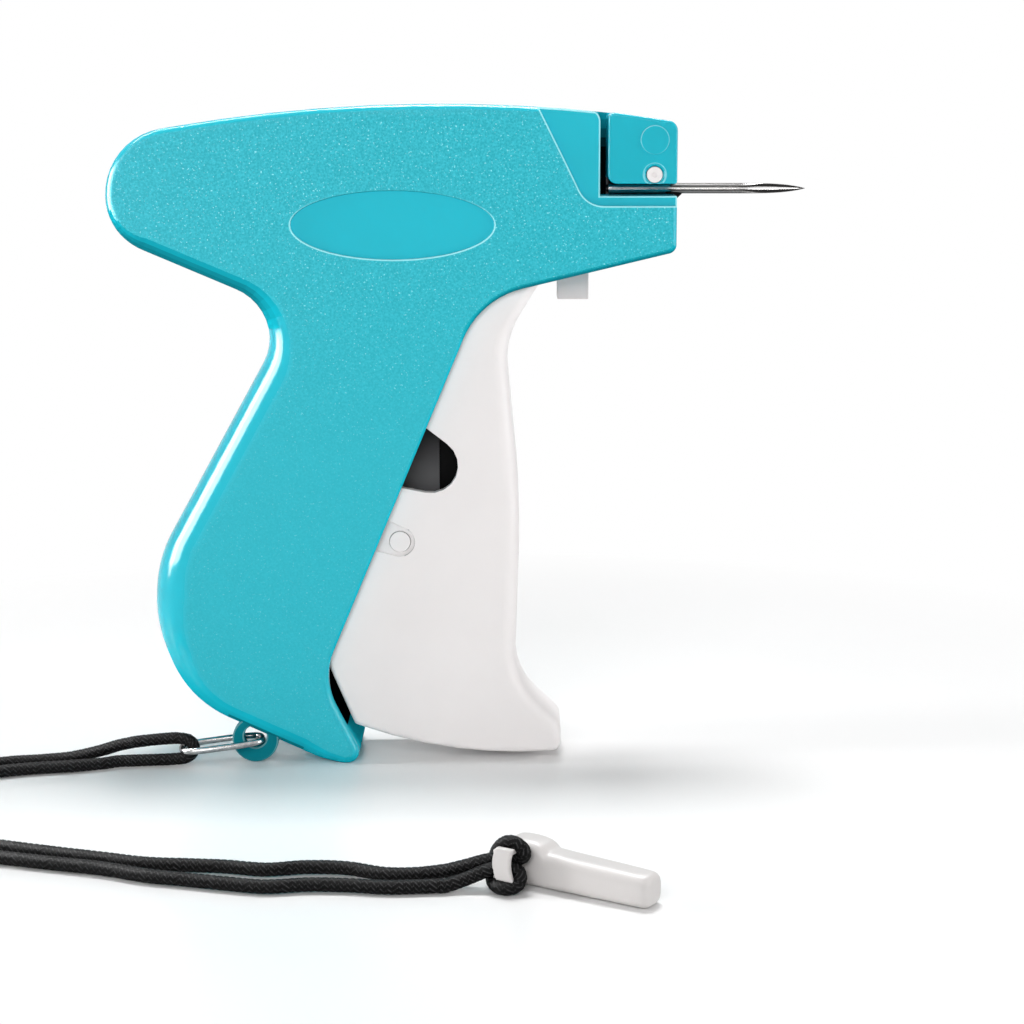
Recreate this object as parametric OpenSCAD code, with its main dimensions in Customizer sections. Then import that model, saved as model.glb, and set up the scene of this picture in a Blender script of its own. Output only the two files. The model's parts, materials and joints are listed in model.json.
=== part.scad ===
// Fabric tagging tool: a pistol-grip gun that pushes plastic fasteners through cloth with a hollow needle.
// X runs forward along the needle, Y runs across the tool with the slotted side at -Y, Z is up from the table.

/* [Casing] */
// Rear end of the body, measured back from the origin
body_back = 77.6; // [75:0.2:80]
// Front face of the nose, measured forward from the origin
nose_front = 48.2; // [47:0.2:50]
// Width across the two shells
casing_w = 25; // [24:0.5:28]
// Wall of the shells
wall = 2.2; // [1.8:0.1:2.6]
// Set-back of the smooth nose on each side
nose_step = 1.2; // [0.8:0.1:1.6]
// Edge rounding down the back of the grip
grip_round = 9; // [6:0.5:10]
// Edge rounding along the top of the body
top_round = 1.8; // [1:0.1:2.5]
// Length of the oval label recess
label_l = 44.8; // [36:0.2:48]
// Height of the oval label recess
label_h = 15; // [12:0.2:17]
// Depth of the oval label recess
label_depth = 0.6; // [0.3:0.1:0.9]
// Diameter of the case screws
screw_d = 2.4; // [2:0.1:2.8]
// Diameter of the screw heads
screw_head_d = 5; // [4:0.1:5.4]
// Outer diameter of the lanyard lug
lug_d = 10.6; // [10:0.2:11.4]

/* [Needle and slot] */
// Height of the needle axis above the trigger pivot
needle_rise = 17.7; // [17:0.1:18.4]
// Outer diameter of the needle
needle_d = 2.3; // [2:0.1:2.6]
// Bore of the needle
needle_bore = 1.6; // [1.5:0.05:1.8]
// Length of needle that stands out of the nose
needle_out = 29.4; // [26:0.2:32]
// Length of the needle's spear point
needle_taper = 14; // [10:0.5:18]
// Width of the fastener slot
slot_w = 1.7; // [1.5:0.1:2]
// Distance of the slot's rear wall behind the nose front
slot_back = 16.95; // [16:0.05:18]
// Diameter of the needle lock's shaft
lock_d = 3.5; // [3:0.1:4]
// Length of the needle lock's thumb tab
lock_tab = 10; // [8:0.5:11]

/* [Trigger] */
// Trigger pivot, measured forward from the origin
pivot_x = 13.7; // [13.3:0.1:14.1]
// Distance from the trigger pivot to its bottom edge
trigger_reach = 110.6; // [108:0.2:111]
// Height of the trigger's bottom edge above the table
toe_gap = 2; // [1.6:0.1:2.4]
// Wall of the trigger moulding
trigger_wall = 2.2; // [1.8:0.1:2.6]
// Edge rounding down the front of the trigger
trigger_round = 3.4; // [2:0.1:3.6]
// Gap between the trigger and the shell wall on each side
trigger_gap = 0.5; // [0.4:0.1:0.8]
// Angle that the trigger turns when it is squeezed
trigger_travel = 13; // [10:0.5:13]
// Diameter of the trigger's pivot pin
pivot_pin_d = 4; // [3:0.1:4.4]
// Diameter of the pin that links the trigger to the lever
link_pin_d = 4.7; // [4:0.1:5]

/* [Drive] */
// Thickness of the drive lever
lever_t = 5; // [4:0.1:5.4]
// Thickness of the lever's steel wear plate
plate_t = 0.8; // [0.6:0.1:1]
// Diameter of the lever's pivot pin
lever_pin_d = 4; // [3:0.1:4.4]
// Length of the plunger slide
slide_l = 16; // [14:0.5:18]
// Width of the plunger slide
slide_w = 11; // [9:0.5:13]
// Height of the plunger slide
slide_h = 10; // [9:0.5:11]
// Diameter of the pin through the slide
slide_pin_d = 3; // [2.4:0.1:3.4]
// Diameter of the push rod
rod_d = 1.3; // [1.1:0.05:1.4]
// Outer diameter of the return spring
spring_d = 7; // [6:0.2:8]
// Wire of the return spring
spring_wire = 0.9; // [0.7:0.1:1.1]
// Coils of the return spring
spring_coils = 9; // [7:1:10]

/* [Feed] */
// Teeth on the feed wheel
feed_teeth = 18; // [17:1:19]
// Thickness of the feed wheel
wheel_t = 5; // [4:0.1:5.2]
// Diameter of the feed wheel's axle
axle_d = 2.5; // [2:0.1:2.8]
// Length of the release button along the nose
button_l = 7; // [6:0.2:7.4]
// Width of the release button
button_w = 8.4; // [8:0.2:9]
// How far the release button hangs below the casing
button_drop = 5.6; // [4.6:0.1:6.6]
// Travel of the release button
button_travel = 2; // [1.4:0.1:2.2]

/* [Lanyard and cap] */
// Diameter of the lanyard cord
cord_d = 2.8; // [2.4:0.1:3]
// Diameter of the clip's wire
clip_wire = 1.5; // [1.2:0.1:1.6]
// Length of the needle cap
cap_l = 31; // [30:0.5:35]
// Width of the cap's tube at the closed end
cap_end_d = 6.6; // [6.4:0.1:7.2]
// Height of the cap's collar
cap_collar_h = 9.6; // [9:0.1:10.2]
// Bore of the cap
cap_bore_d = 4.2; // [3.4:0.1:4.4]

/* [Hidden] */
$fn = 48;

teal = [0.18, 0.72, 0.79];
white = [0.93, 0.93, 0.92];
steel = [0.72, 0.73, 0.75];
dark = [0.2, 0.2, 0.22];
black = [0.05, 0.05, 0.05];

// Clearances: round running fits, sliding faces, bought-in fits and the slack of an opened linkage
pin_fit = 0.05;
slide_fit = 0.3;
seat_fit = 0.1;
lap = 0.5;
far = 200;

// Heights: the body is carried by the trigger's pivot, and the grip's foot stays on the table
pivot_z = trigger_reach + toe_gap;
needle_z = pivot_z + needle_rise;

// Casing
half = casing_w / 2;
inner = half - wall;
nose_half = half - nose_step;
corner_steps = 10;
edge_steps = 6;
// Corners of the casing, clockwise seen from -Y: x, z, corner radius, edge rounding
nose_top_z = needle_z + 14.8;
nose_low_z = needle_z - 13.5;
web_x = 4.8;
web_z = pivot_z - 6.2;
casing_corners = [
    [nose_front, nose_top_z, 2, 1], [nose_front, nose_low_z, 2, 1.6], [web_x, web_z, 19, 1.2],
    [-31.4, 19.8, 15.5, 1.2], [-20.7, -1.45, 3.05, 2.4], [-33.4, 0.9, 27, 4.5], [-62.9, 14.4, 25.6, 6],
    [-72.9, 39.8, 31, grip_round], [-37.6, pivot_z - 9.3, 11.8, 6], [-body_back, pivot_z + 7.6, 13, 2.6],
    [-body_back, nose_top_z - 3.6, 15, top_round], [-8.7, nose_top_z + 8.1, 350, top_round]
];
foot_x = -26.2;

// Nose
slot_x = nose_front - slot_back;
block_x = slot_x + slot_w;
groove_low = needle_z - needle_d / 2 - seat_fit;
groove_high = needle_z + needle_d / 2 + 2 * seat_fit;
ledge_z = needle_z - 3.4;
lip_round = 2.8;
lock_hub_d = lock_d + 2.9;
lock_x = nose_front - 5;
lock_z = needle_z + 3.35;
peg_z = needle_z + 10.9;
peg_r = 3.2;
peg_rise = 0.25;
channel_half = 2.5;
// Edge of the proud body where it meets the smooth nose
step_corners = [
    [slot_x - 14.6, nose_top_z + 10.9, 0.1, 0], [nose_front + 5, nose_top_z + 10.9, 0.1, 0],
    [nose_front + 5, ledge_z, 0.1, 0], [slot_x - 2.9, ledge_z, 6, 0],
    [slot_x - 8.1, needle_z + 7.2, 90, 0], [slot_x - 14.6, nose_top_z + 5.3, 0.1, 0]
];
// Smooth block that closes the nose on the slotted side
block_top = nose_top_z + (nose_front - block_x) * 0.143;
block_corners = [
    [block_x, block_top, 1.5, 0.5], [nose_front, nose_top_z, 2.2, 0.8],
    [nose_front, groove_high, 0.6, 0.4], [block_x, groove_high, 2, 0.5]
];
base_y = 6.5;
base_drop = 2.6;
base_rise = 2.4;
blade_t = 0.6;

// Label
label_x = -14.4;
label_z = pivot_z + 10.1;
label_points = 64;

// Case screws, as x and z; the boss of the second one stands on the slide's rail
boss_wall = 2.2;
pivot_wall = 1.6;
rail_t = 2;
rail_top = needle_z + slide_h / 2 + slide_fit + rail_t;
screw_places = [
    [-64, needle_z - 0.3], [10, rail_top + screw_d / 2 + boss_wall - 0.6], [nose_front - 8.2, nose_low_z + 4.7],
    [-36, pivot_z - 20.6], [-57, 20]
];
screw_grip = 8;
head_h = 2.2;
head_sink = 3;

// Lug for the lanyard on the near shell
lug_x = -47;
lug_t = 2.6;
lug_y = -9;
lug_hole_d = 5.2;
lug_hole_z = lug_d / 2 + 0.7;

// Trigger, with its corners measured from the pivot
trigger_half = inner - trigger_gap;
hub_r = 3.8;
trigger_foot = trigger_reach / cos(12.4);
trigger_corners = [
    [-1.2, 7.4, 4.5, 1], [7.1, 1.6, 4, 1], [-3.4, -15.4, 20, trigger_round], [0.2, -52.9, 200, trigger_round],
    [-1.3, 16.4 - trigger_reach, 15.8, trigger_round], [9.5, 6.4 - trigger_reach, 3.7, min(3.2, trigger_round)],
    trigger_toe(85.2, 1.8), [-trigger_foot * sin(7.6), -trigger_foot * cos(7.6), trigger_reach - 8, 1.6],
    trigger_toe(110, 1.4), [-48.2, 31 - trigger_reach, 8, 1], [-35.7, -30.6, 8, 1], [-7.2, -0.6, 4, 1]
];
trigger_steps = 6;
trigger_edge_steps = 5;
// Cut that frees the lever's bosses, with the round end towards the front, measured from the pivot
window_corners = [[4.4, -54.8, 6.2, 0], [-50, -44.4, 0.4, 0], [-50, -13.1, 0.4, 0]];
ramp_depth = 0.6;
ramp_r = 3.3;
sweep_gap = 0.6;

// Link between trigger and lever
link_reach = 67;
link_bearing = -113.9;
lever_orbit = 48.2;
lever_bearing = -127.7;
lever_x = pivot_x + lever_orbit * cos(lever_bearing);
lever_z = pivot_z + lever_orbit * sin(lever_bearing);
link_x = pivot_x + link_reach * cos(link_bearing);
link_z = pivot_z + link_reach * sin(link_bearing);
link_x1 = pivot_x + link_reach * cos(link_bearing - trigger_travel);
link_z1 = pivot_z + link_reach * sin(link_bearing - trigger_travel);
lower_bearing = atan2(link_z - lever_z, link_x - lever_x);
lever_swing = lower_bearing - atan2(link_z1 - lever_z, link_x1 - lever_x);
lever_rise = needle_z - lever_z;
slide_x = lever_x - lever_rise * tan(lever_swing / 2);
stroke = 2 * lever_rise * tan(lever_swing / 2);
link_slack = 0.75;
slide_slack = 0.5;
boss_r = 4.2;
arm_t = 3;
lever_top = 9;
lever_front = 17;
lever_back = 6;
lever_foot = 28;
plate_front = 11.2;
fork_start = 14.5;
fork_l = 40;
rail_gap = 2.8;
rail_back = 4;
slide_tail = 6.5;
slide_head = 3.2;
tine = 1.4;

// Return spring, on a tangent of the trigger's swing
spring_reach = 85;
spring_bearing = -119;
spring_x = pivot_x + spring_reach * cos(spring_bearing);
spring_z = pivot_z + spring_reach * sin(spring_bearing);
spring_tilt = 90 + spring_bearing;
spring_l = 33;
seat_t = 2;
post_l = 6;

// Feed wheel, one tooth forward for each squeeze
wheel_x = slot_x - 5.65;
wheel_z = needle_z - 9.5;
wheel_gap = norm([wheel_x - pivot_x, wheel_z - pivot_z]);
wheel_bearing = atan2(wheel_z - pivot_z, wheel_x - pivot_x);
tooth_step = 360 / feed_teeth;
wheel_r = wheel_gap / (1 + tooth_step / trigger_travel);
pawl_r = wheel_gap - wheel_r;
tooth_add = 0.6;
tooth_ded = 0.75;
pawl_t = 3;
pawl_room = 5.4;
axle_boss_y = 6.2;

// Release button under the nose
floor_slope = (nose_low_z - web_z) / (nose_front - web_x);
button_x = slot_x - 9.2;
button_mid = button_x + button_l / 2;
button_low = web_z + floor_slope * (button_mid - web_x) - button_drop;
floor_t = (wall + 0.55) / cos(atan(floor_slope));
flange_low = web_z + floor_slope * (button_x + button_l - web_x) + floor_t + slide_fit;
flange_t = 1.5;
flange_w = 1.5;
tine_in = wheel_t / 2 + 2 * slide_fit;
tine_t = 1.6;
hook_t = 1.2;
small_spring_d = 2;
small_spring_wire = 0.4;
small_spring_coils = 3;
small_spring_l = 3.3;
small_spring_x = button_x + small_spring_d / 2;
small_spring_y = tine_in + 1.3;
shelf_z = flange_low + flange_t + small_spring_l + seat_fit;

// Wire clip, cord route and cap, as laid on the table
clip_right = [-45.6, -9, 5.3];
clip_left = [-63.4, -12.7, 3.8];
clip_half = 3.7;
clip_rings = 28;
strand_a_route = [
    [-74.4, -14.3, 1.5], [-78, -15, 1.5], [-81, -16.7, 1.5], [-88, -18.8, 1.5], [-97, -20.8, 1.5],
    [-107, -25, 1.5], [-116, -32.5, 1.5], [-120.5, -43, 1.5], [-119, -54, 1.5], [-112, -63.5, 1.5], [-102, -70.5, 1.5],
    [-91, -75.5, 1.5], [-80, -79.5, 1.5], [-69.3, -83.1, 1.5], [-60.3, -86.1, 1.5], [-52.3, -87, 1.5],
    [-44.3, -87.9, 1.5], [-36.3, -89.7, 1.5], [-28.6, -88.2, 1.5], [-20.7, -88.8, 1.5], [-12.6, -92.3, 1.5],
    [-6, -93.6, 2], [-0.6, -94.6, 3]
];
strand_b_route = [
    [-74.4, -12.6, 5.35], [-78, -12.6, 4.6], [-82, -12.7, 3.4], [-88, -12.9, 2], [-94, -13.6, 1.5],
    [-104, -16.2, 1.5], [-115, -22.5, 1.5], [-123.5, -33.5, 1.5], [-126, -46, 1.5], [-123, -58.5, 1.5],
    [-115, -69, 1.5], [-104, -76.5, 1.5], [-92, -81.5, 1.5], [-80, -85.5, 1.5], [-68.3, -89.1, 1.5],
    [-59.2, -93.2, 1.5], [-51.1, -95.5, 1.5], [-43.1, -97.8, 1.5], [-35.2, -99.8, 1.5], [-27.6, -99, 1.5],
    [-19.9, -100.1, 1.5], [-12.1, -101.5, 1.5], [-5, -100.5, 1.5], [-0.6, -98.9, 1.5]
];
clip_hitch_route = [
    [-74, -14.3, 1.5], [-70, -13.8, 1.5], [-66, -13.2, 1.5], [-62.4, -12.9, 1.9], [-60.8, -12.5, 3.8],
    [-61.8, -12.2, 5.6], [-64.4, -12, 6.1], [-67, -12, 6], [-70, -12.2, 5.8], [-74, -12.5, 5.4]
];
cap_hitch_route = [
    [0, -98.7, 1.6], [3.5, -97.5, 2.4], [7, -96.5, 4.2], [9.8, -96.6, 5.5], [12, -97.3, 5.8],
    [14.3, -98.7, 6.2], [15.6, -99.2, 8], [14.8, -98.1, 10.2], [12, -96.9, 11], [8.8, -95.7, 10.2],
    [6, -95, 7.9], [3, -94.8, 5.2], [0, -94.7, 3.2]
];
cord_sides = 8;
route_steps = 2;
cap_x = 12.7;
cap_y = -90.5;
cap_turn = -32.5;
cap_sides = 24;
cap_collar_l = 8.4;
cap_neck_d = cap_end_d + 0.8;
cap_bore_z = cap_end_d / 2 + 0.1;
// Bail on the near side of the cap's collar: two legs and a bowed band that keeps the cord on them
bail_x = 0.6;
bail_w = 3.8;
bail_reach = 9.7;
bail_t = 1.2;
bail_leg = 0.8;
bail_low = 2.9;
bail_high = 8.6;
bail_lip = 0.6;
bail_bow = 0.9;

// Helper functions
function unit(v) = v / norm(v);

// Edge rounding at a share s of the way round corner b, blended with its neighbours a and c
function edge_at(a, b, c, s) =
    let (e = s < 0.5 ? b[3] + (a[3] - b[3]) * (0.5 - s) : b[3] + (c[3] - b[3]) * (s - 0.5))
    side_of(a, b, c) < 0 ? min(e, max(b[3], 0.9 * b[2])) : e;

// Points round one corner b between its neighbours a and c: x, z, edge rounding and inward normal
function corner_arc(a, b, c, steps) =
    let (
        p = [b[0], b[1]],
        u = unit([a[0], a[1]] - p),
        w = unit([c[0], c[1]] - p),
        g = acos(u * w) / 2,
        centre = p + unit(u + w) * b[2] / sin(g),
        from = p + u * b[2] / tan(g) - centre,
        to = p + w * b[2] / tan(g) - centre,
        start = atan2(from[1], from[0]),
        turn = (atan2(to[1], to[0]) - start + 540) % 360 - 180,
        inward = side_of(a, b, c) < 0 ? -1 : 1
    )
    [for (k = [0:steps]) let (q = start + turn * k / steps, n = [cos(q), sin(q)])
        concat(centre + b[2] * n, edge_at(a, b, c, k / steps), inward * n)];

// Closed outline with round corners
function outline(v, steps) =
    let (n = len(v))
    [for (i = [0:n - 1]) each corner_arc(v[(i + n - 1) % n], v[i], v[(i + 1) % n], steps)];

// Corners moved inward by a wall and by a share of the edge rounding
function inset(v, w, share) =
    let (n = len(v))
    [for (i = [0:n - 1])
        let (
            a = v[(i + n - 1) % n],
            b = v[i],
            c = v[(i + 1) % n],
            t = unit([b[0] - a[0], b[1] - a[1]]),
            u = unit([c[0] - b[0], c[1] - b[1]]),
            side = [t[1] + u[1], -t[0] - u[0]] / (1 + t * u),
            d = w + share * b[3]
        )
        concat([b[0], b[1]] + side * d, side_of(a, b, c) < 0 ? max(0.9 * (b[2] - d), 0.3) : b[2] + d, 0)];

// One ring of a rounded edge: turn 0 is on the outline and turn 90 is on the flat side at y
function edge_ring(p, y, side, turn) =
    [for (q = p) let (e = q[2], d = e * (1 - cos(turn)))
        [q[0] + q[3] * d, side * (y - e + e * sin(turn)), q[1] + q[4] * d]];

function half_rings(p, y, steps) = concat(
    [[for (q = p) [q[0], 0, q[1]]]],
    [for (k = [0:steps]) edge_ring(p, y, -1, 90 * k / steps)]
);
function full_rings(p, y, steps) = concat(
    [for (k = [0:steps]) edge_ring(p, y, 1, 90 - 90 * k / steps)],
    [for (k = [0:steps]) edge_ring(p, y, -1, 90 * k / steps)]
);

// Triangles that fill a clockwise outline of x and z, cut off ear by ear
function side_of(a, b, p) = (b[0] - a[0]) * (p[1] - a[1]) - (b[1] - a[1]) * (p[0] - a[0]);
function holds(a, b, c, p) = side_of(a, b, p) <= 0 && side_of(b, c, p) <= 0 && side_of(c, a, p) <= 0;
function is_ear(p, s, i) =
    let (n = len(s), a = s[(i + n - 1) % n], b = s[i], c = s[(i + 1) % n])
    side_of(p[a], p[b], p[c]) < -1e-9 &&
    len([for (k = s) if (k != a && k != b && k != c && holds(p[a], p[b], p[c], p[k])) k]) == 0;
function ears(p, s, i = 0, done = []) =
    let (n = len(s), j = i % n)
    n == 3 ? concat(done, [s])
    : !is_ear(p, s, j) ? ears(p, s, j + 1, done)
    : ears(p, [for (k = [0:n - 1]) if (k != j) s[k]], j + 1,
        concat(done, [[s[(j + n - 1) % n], s[j], s[(j + 1) % n]]]));
function flat_cap(ring) = ears([for (q = ring) [q[0], q[2]]], [for (i = [0:len(ring) - 1]) i]);
function fan_cap(ring) = [for (i = [1:len(ring) - 2]) [0, i, i + 1]];

// Rings of a tube along a path
function tube_rings(path, r, sides, up = [0, 0, 1]) =
    [for (i = [0:len(path) - 1])
        let (
            t = unit(path[min(i + 1, len(path) - 1)] - path[max(i - 1, 0)]),
            s = unit(cross(t, up)),
            v = cross(s, t)
        )
        [for (k = [0:sides - 1]) path[i] + r * (cos(360 * k / sides) * s + sin(360 * k / sides) * v)]];

// Smooth path through hand-chosen points
function blend_point(a, b, c, d, t) =
    0.5 * (2 * b + (c - a) * t + (2 * a - 5 * b + 4 * c - d) * t ^ 2 + (3 * b - a - 3 * c + d) * t ^ 3);
function smooth(p, steps) =
    let (n = len(p) - 1)
    concat(
        [for (i = [0:n - 1]) for (k = [0:steps - 1])
            blend_point(p[max(i - 1, 0)], p[i], p[i + 1], p[min(i + 2, n)], k / steps)],
        [p[n]]
    );

// Helix along +Z from the origin, eight points a coil
function helix(r, length, coils) =
    [for (k = [0:coils * 8]) [r * cos(45 * k), r * sin(45 * k), length * k / (coils * 8)]];
function least_gap(path, wire) =
    min([for (i = [0:len(path) - 1]) for (j = [i + 5:1:len(path) - 1]) norm(path[i] - path[j])]) - wire;

// Foot of the trigger on its arc, where the edge turns up, measured from the pivot
function trigger_toe(bearing, r) =
    [trigger_reach * cos(bearing), -trigger_reach * sin(bearing), r, min(r - 0.2, trigger_round)];

return_path = helix((spring_d - spring_wire) / 2, spring_l - spring_wire, spring_coils);
release_path = helix(
    (small_spring_d - small_spring_wire) / 2, small_spring_l - small_spring_wire, small_spring_coils
);
echo(return_spring_gap = least_gap(return_path, spring_wire));
echo(release_spring_gap = least_gap(release_path, small_spring_wire));

// Helper modules
module loft(rings, first_cap, last_cap) {
    n = len(rings[0]);
    m = len(rings);
    walls = [for (j = [0:m - 2]) for (i = [0:n - 1])
        let (a = j * n + i, b = j * n + (i + 1) % n)
        each [[a, b, b + n], [a, b + n, a + n]]];
    first = [for (t = first_cap) [t[2], t[1], t[0]]];
    last = [for (t = last_cap) [for (k = t) k + (m - 1) * n]];
    polyhedron([for (r = rings) each r], concat(walls, first, last));
}

module ring_loft(rings) {
    n = len(rings[0]);
    m = len(rings);
    polyhedron(
        [for (r = rings) each r],
        [for (j = [0:m - 1]) for (i = [0:n - 1])
            let (a = j * n + i, b = j * n + (i + 1) % n, c = ((j + 1) % m) * n)
            each [[a, b, c + (i + 1) % n], [a, c + (i + 1) % n, c + i]]]
    );
}

module tube(path, r, sides, up = [0, 0, 1]) {
    rings = tube_rings(path, r, sides, up);
    loft(rings, fan_cap(rings[0]), fan_cap(rings[0]));
}

module plate(y0, y1) {
    translate([0, y1, 0]) rotate([90, 0, 0]) linear_extrude(y1 - y0) children();
}

module pin(x, z, d, y0, y1) {
    translate([x, y1, z]) rotate([90, 0, 0]) cylinder(h = y1 - y0, d = d);
}

module rod(x0, x1, y, z, d) {
    translate([x0, y, z]) rotate([0, 90, 0]) cylinder(h = x1 - x0, d = d);
}

module block(x0, x1, y0, y1, z0, z1) {
    translate([x0, y0, z0]) cube([x1 - x0, y1 - y0, z1 - z0]);
}

module rounded_plate(corners, steps, y0, y1) {
    plate(y0, y1) polygon([for (q = outline(corners, steps)) [q[0], q[1]]]);
}

module at_pivot() {
    translate([pivot_x, 0, pivot_z]) children();
}

module at_lever() {
    translate([lever_x, 0, lever_z]) children();
}

// Near half of the casing before the nose, lug and screw holes are made
module shell_half() {
    casing = outline(casing_corners, corner_steps);
    rings = half_rings(casing, half, edge_steps);
    room = [for (q = outline(inset(casing_corners, wall, 0.33), 4)) [q[0], q[1]]];
    slide_low = needle_z - slide_h / 2 - slide_fit;
    slide_high = needle_z + slide_h / 2 + slide_fit;
    rail_start = slide_x - slide_tail - rail_back;
    rail_end = slide_x + stroke + slide_l - slide_tail;
    difference() {
        union() {
            difference() {
                loft(rings, flat_cap(rings[0]), flat_cap(rings[len(rings) - 1]));
                plate(-inner, 1) intersection() {
                    polygon(room);
                    translate([slot_x - wall - far, 0]) square(far);
                }
                trigger_passage();
            }
            for (s = screw_places) pin(s[0], s[1], screw_d + 2 * boss_wall, -inner - lap, 0);
            pin(lever_x, lever_z, 2 * boss_r, -inner - lap, -lever_t / 2 - plate_t - slide_fit);
            pin(pivot_x, pivot_z, pivot_pin_d + 2 * pivot_wall, -inner - lap, -trigger_half - slide_fit / 2);
            pin(wheel_x, wheel_z, axle_d + 2 * boss_wall, -inner - lap, -axle_boss_y);
            block(rail_start, rail_end, -inner - lap, -rail_gap, slide_low - rail_t, slide_low);
            block(rail_start, rail_end, -inner - lap, -rail_gap, slide_high, slide_high + rail_t);
            spring_frame() translate([-spring_l - seat_t - seat_fit, -inner - lap, -spring_d / 2 - 1])
                cube([seat_t, inner + lap, spring_d + 2]);
        }
        pin(lever_x, lever_z, lever_pin_d + 2 * pin_fit, -inner - lap, 1);
        pin(pivot_x, pivot_z, pivot_pin_d + 2 * pin_fit, -inner - lap, 1);
        pin(wheel_x, wheel_z, axle_d + 2 * pin_fit, -inner - lap, 1);
        pin(wheel_x, wheel_z, 2 * (wheel_r + tooth_add + slide_fit), -wheel_t / 2 - slide_fit, 1);
        rod(slot_x - wall - 1, block_x + 1, 0, needle_z, rod_d + 4 * slide_fit);
        block(slot_x, block_x, -channel_half, 1, 0, groove_high);
        block(
            button_x - slide_fit, button_x + button_l + slide_fit, -button_w / 2 - slide_fit, 1,
            button_low, flange_low
        );
        plate(-half - 1, -half + label_depth) polygon(
            [for (k = [0:label_points - 1]) let (a = 360 * k / label_points)
                [label_x + label_l / 2 * cos(a), label_z + label_h / 2 * sin(a)]]
        );
        rounded_plate(step_corners, 8, -half - 1, -nose_half);
        block(-far, far, -far, far, -far, 0);
    }
}

// Space that the trigger sweeps through, open to the front of the grip
module trigger_passage() {
    r = trigger_reach + sweep_gap;
    at_pivot() plate(-trigger_half - trigger_gap, 1) polygon(concat(
        [[6.4, 3], [6.4, -20]],
        [for (a = [-40:-3.5:-124]) [r * cos(a), r * sin(a)]],
        [[-65, -66.6], [-45.7, -32.6], [-19.7, -3]]
    ));
}

module spring_frame() {
    translate([spring_x, 0, spring_z]) rotate([0, -spring_tilt, 0]) children();
}

// Casing shell on the slotted side, with the lanyard lug
module right_shell() {
    color(teal) difference() {
        union() {
            shell_half();
            difference() {
                pin(lug_x, lug_d / 2, lug_d, lug_y - lug_t / 2, lug_y + lug_t / 2);
                pin(lug_x, lug_hole_z, lug_hole_d, -far, far);
            }
            block(button_x, wheel_x - axle_d / 2 - slide_fit, -inner - lap, -tine_in, shelf_z, shelf_z + 1.2);
        }
        nose_opening();
        block(nose_front - 2, nose_front + 1, -1 - seat_fit, 1, needle_z - base_drop - 3 * seat_fit, needle_z);
        for (s = screw_places) pin(s[0], s[1], screw_d + 2 * pin_fit, -screw_grip - 0.5, 1);
    }
}

// Fastener slot and the room for the nose block, with the round lip beside the slot
module nose_opening() {
    lip_z = block_top + 0.6;
    plate(-far, 1) polygon(concat(
        [[nose_front + 5, far], [nose_front + 5, groove_low], [slot_x, groove_low]],
        [for (a = [0:10:90]) [slot_x - lip_round + lip_round * cos(a), lip_z - lip_round + lip_round * sin(a)]],
        [[slot_x - lip_round, far]]
    ));
}

// Casing shell on the far side, with the needle pocket and the screw heads
module left_shell() {
    color(teal) difference() {
        mirror([0, 1, 0]) shell_half();
        block(slot_x, block_x, -1, channel_half, 0, far);
        block(
            block_x, nose_front + 1, -1, base_y + seat_fit,
            needle_z - base_drop - seat_fit, needle_z + base_rise + seat_fit
        );
        pin(lock_x, lock_z, lock_d + 2 * pin_fit, -1, far);
        pin(nose_front - 5, peg_z, peg_r + 2 * seat_fit, -1, 4 + seat_fit);
        for (s = screw_places) {
            pin(s[0], s[1], screw_d + 2 * slide_fit, -1, far);
            pin(s[0], s[1], screw_head_d + 2 * slide_fit, half - nose_step - head_sink, far);
        }
    }
}

// Smooth block that closes the nose on the slotted side, with its locating peg
module nose_block() {
    shape = outline(block_corners, 6);
    rings = half_rings(shape, nose_half, 4);
    color(teal) difference() {
        union() {
            loft(rings, flat_cap(rings[0]), flat_cap(rings[len(rings) - 1]));
            pin(nose_front - 5, peg_z, peg_r, -1, 4);
            pin(nose_front - 5, peg_z, 2 * peg_r, -nose_half - peg_rise, -nose_half + lap);
        }
        pin(lock_x, lock_z, lock_d + 2 * pin_fit, -far, 1);
        translate([lock_x, -nose_half - 0.01, lock_z]) rotate([-90, 0, 0])
            cylinder(h = 0.6, d1 = lock_d + 1.4, d2 = lock_d);
    }
}

// Screws that join the shells, put in from the far side
module case_screws() {
    seat = half - nose_step - head_sink;
    color(steel) for (s = screw_places) difference() {
        union() {
            pin(s[0], s[1], screw_d, -screw_grip, seat + lap);
            pin(s[0], s[1], screw_head_d, seat, seat + head_h);
        }
        for (w = [[0.7, 2.8], [2.8, 0.7]])
            block(s[0] - w[0] / 2, s[0] + w[0] / 2, seat + head_h - 1, far, s[1] - w[1] / 2, s[1] + w[1] / 2);
    }
}

// Hollow steel needle, slotted along the near side and ground to a spear point
module needle() {
    r = needle_d / 2;
    start = block_x + blade_t;
    tip = nose_front + needle_out;
    color(steel) intersection() {
        difference() {
            rod(start, tip, 0, needle_z, needle_d);
            rod(start - 1, tip + 1, 0, needle_z, needle_bore);
            block(start - 1, tip + 1, -r - 1, 0, needle_z - 0.45, needle_z + 0.45);
        }
        translate([0, 0, needle_z]) plate(-r - 1, r + 1) polygon([
            [start - 1, -r - 1], [tip - needle_taper, -r - 1], [tip - needle_taper, -r], [tip, -0.46],
            [tip, 0.46], [tip - needle_taper, r], [tip - needle_taper, r + 1], [start - 1, r + 1]
        ]);
    }
}

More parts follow.
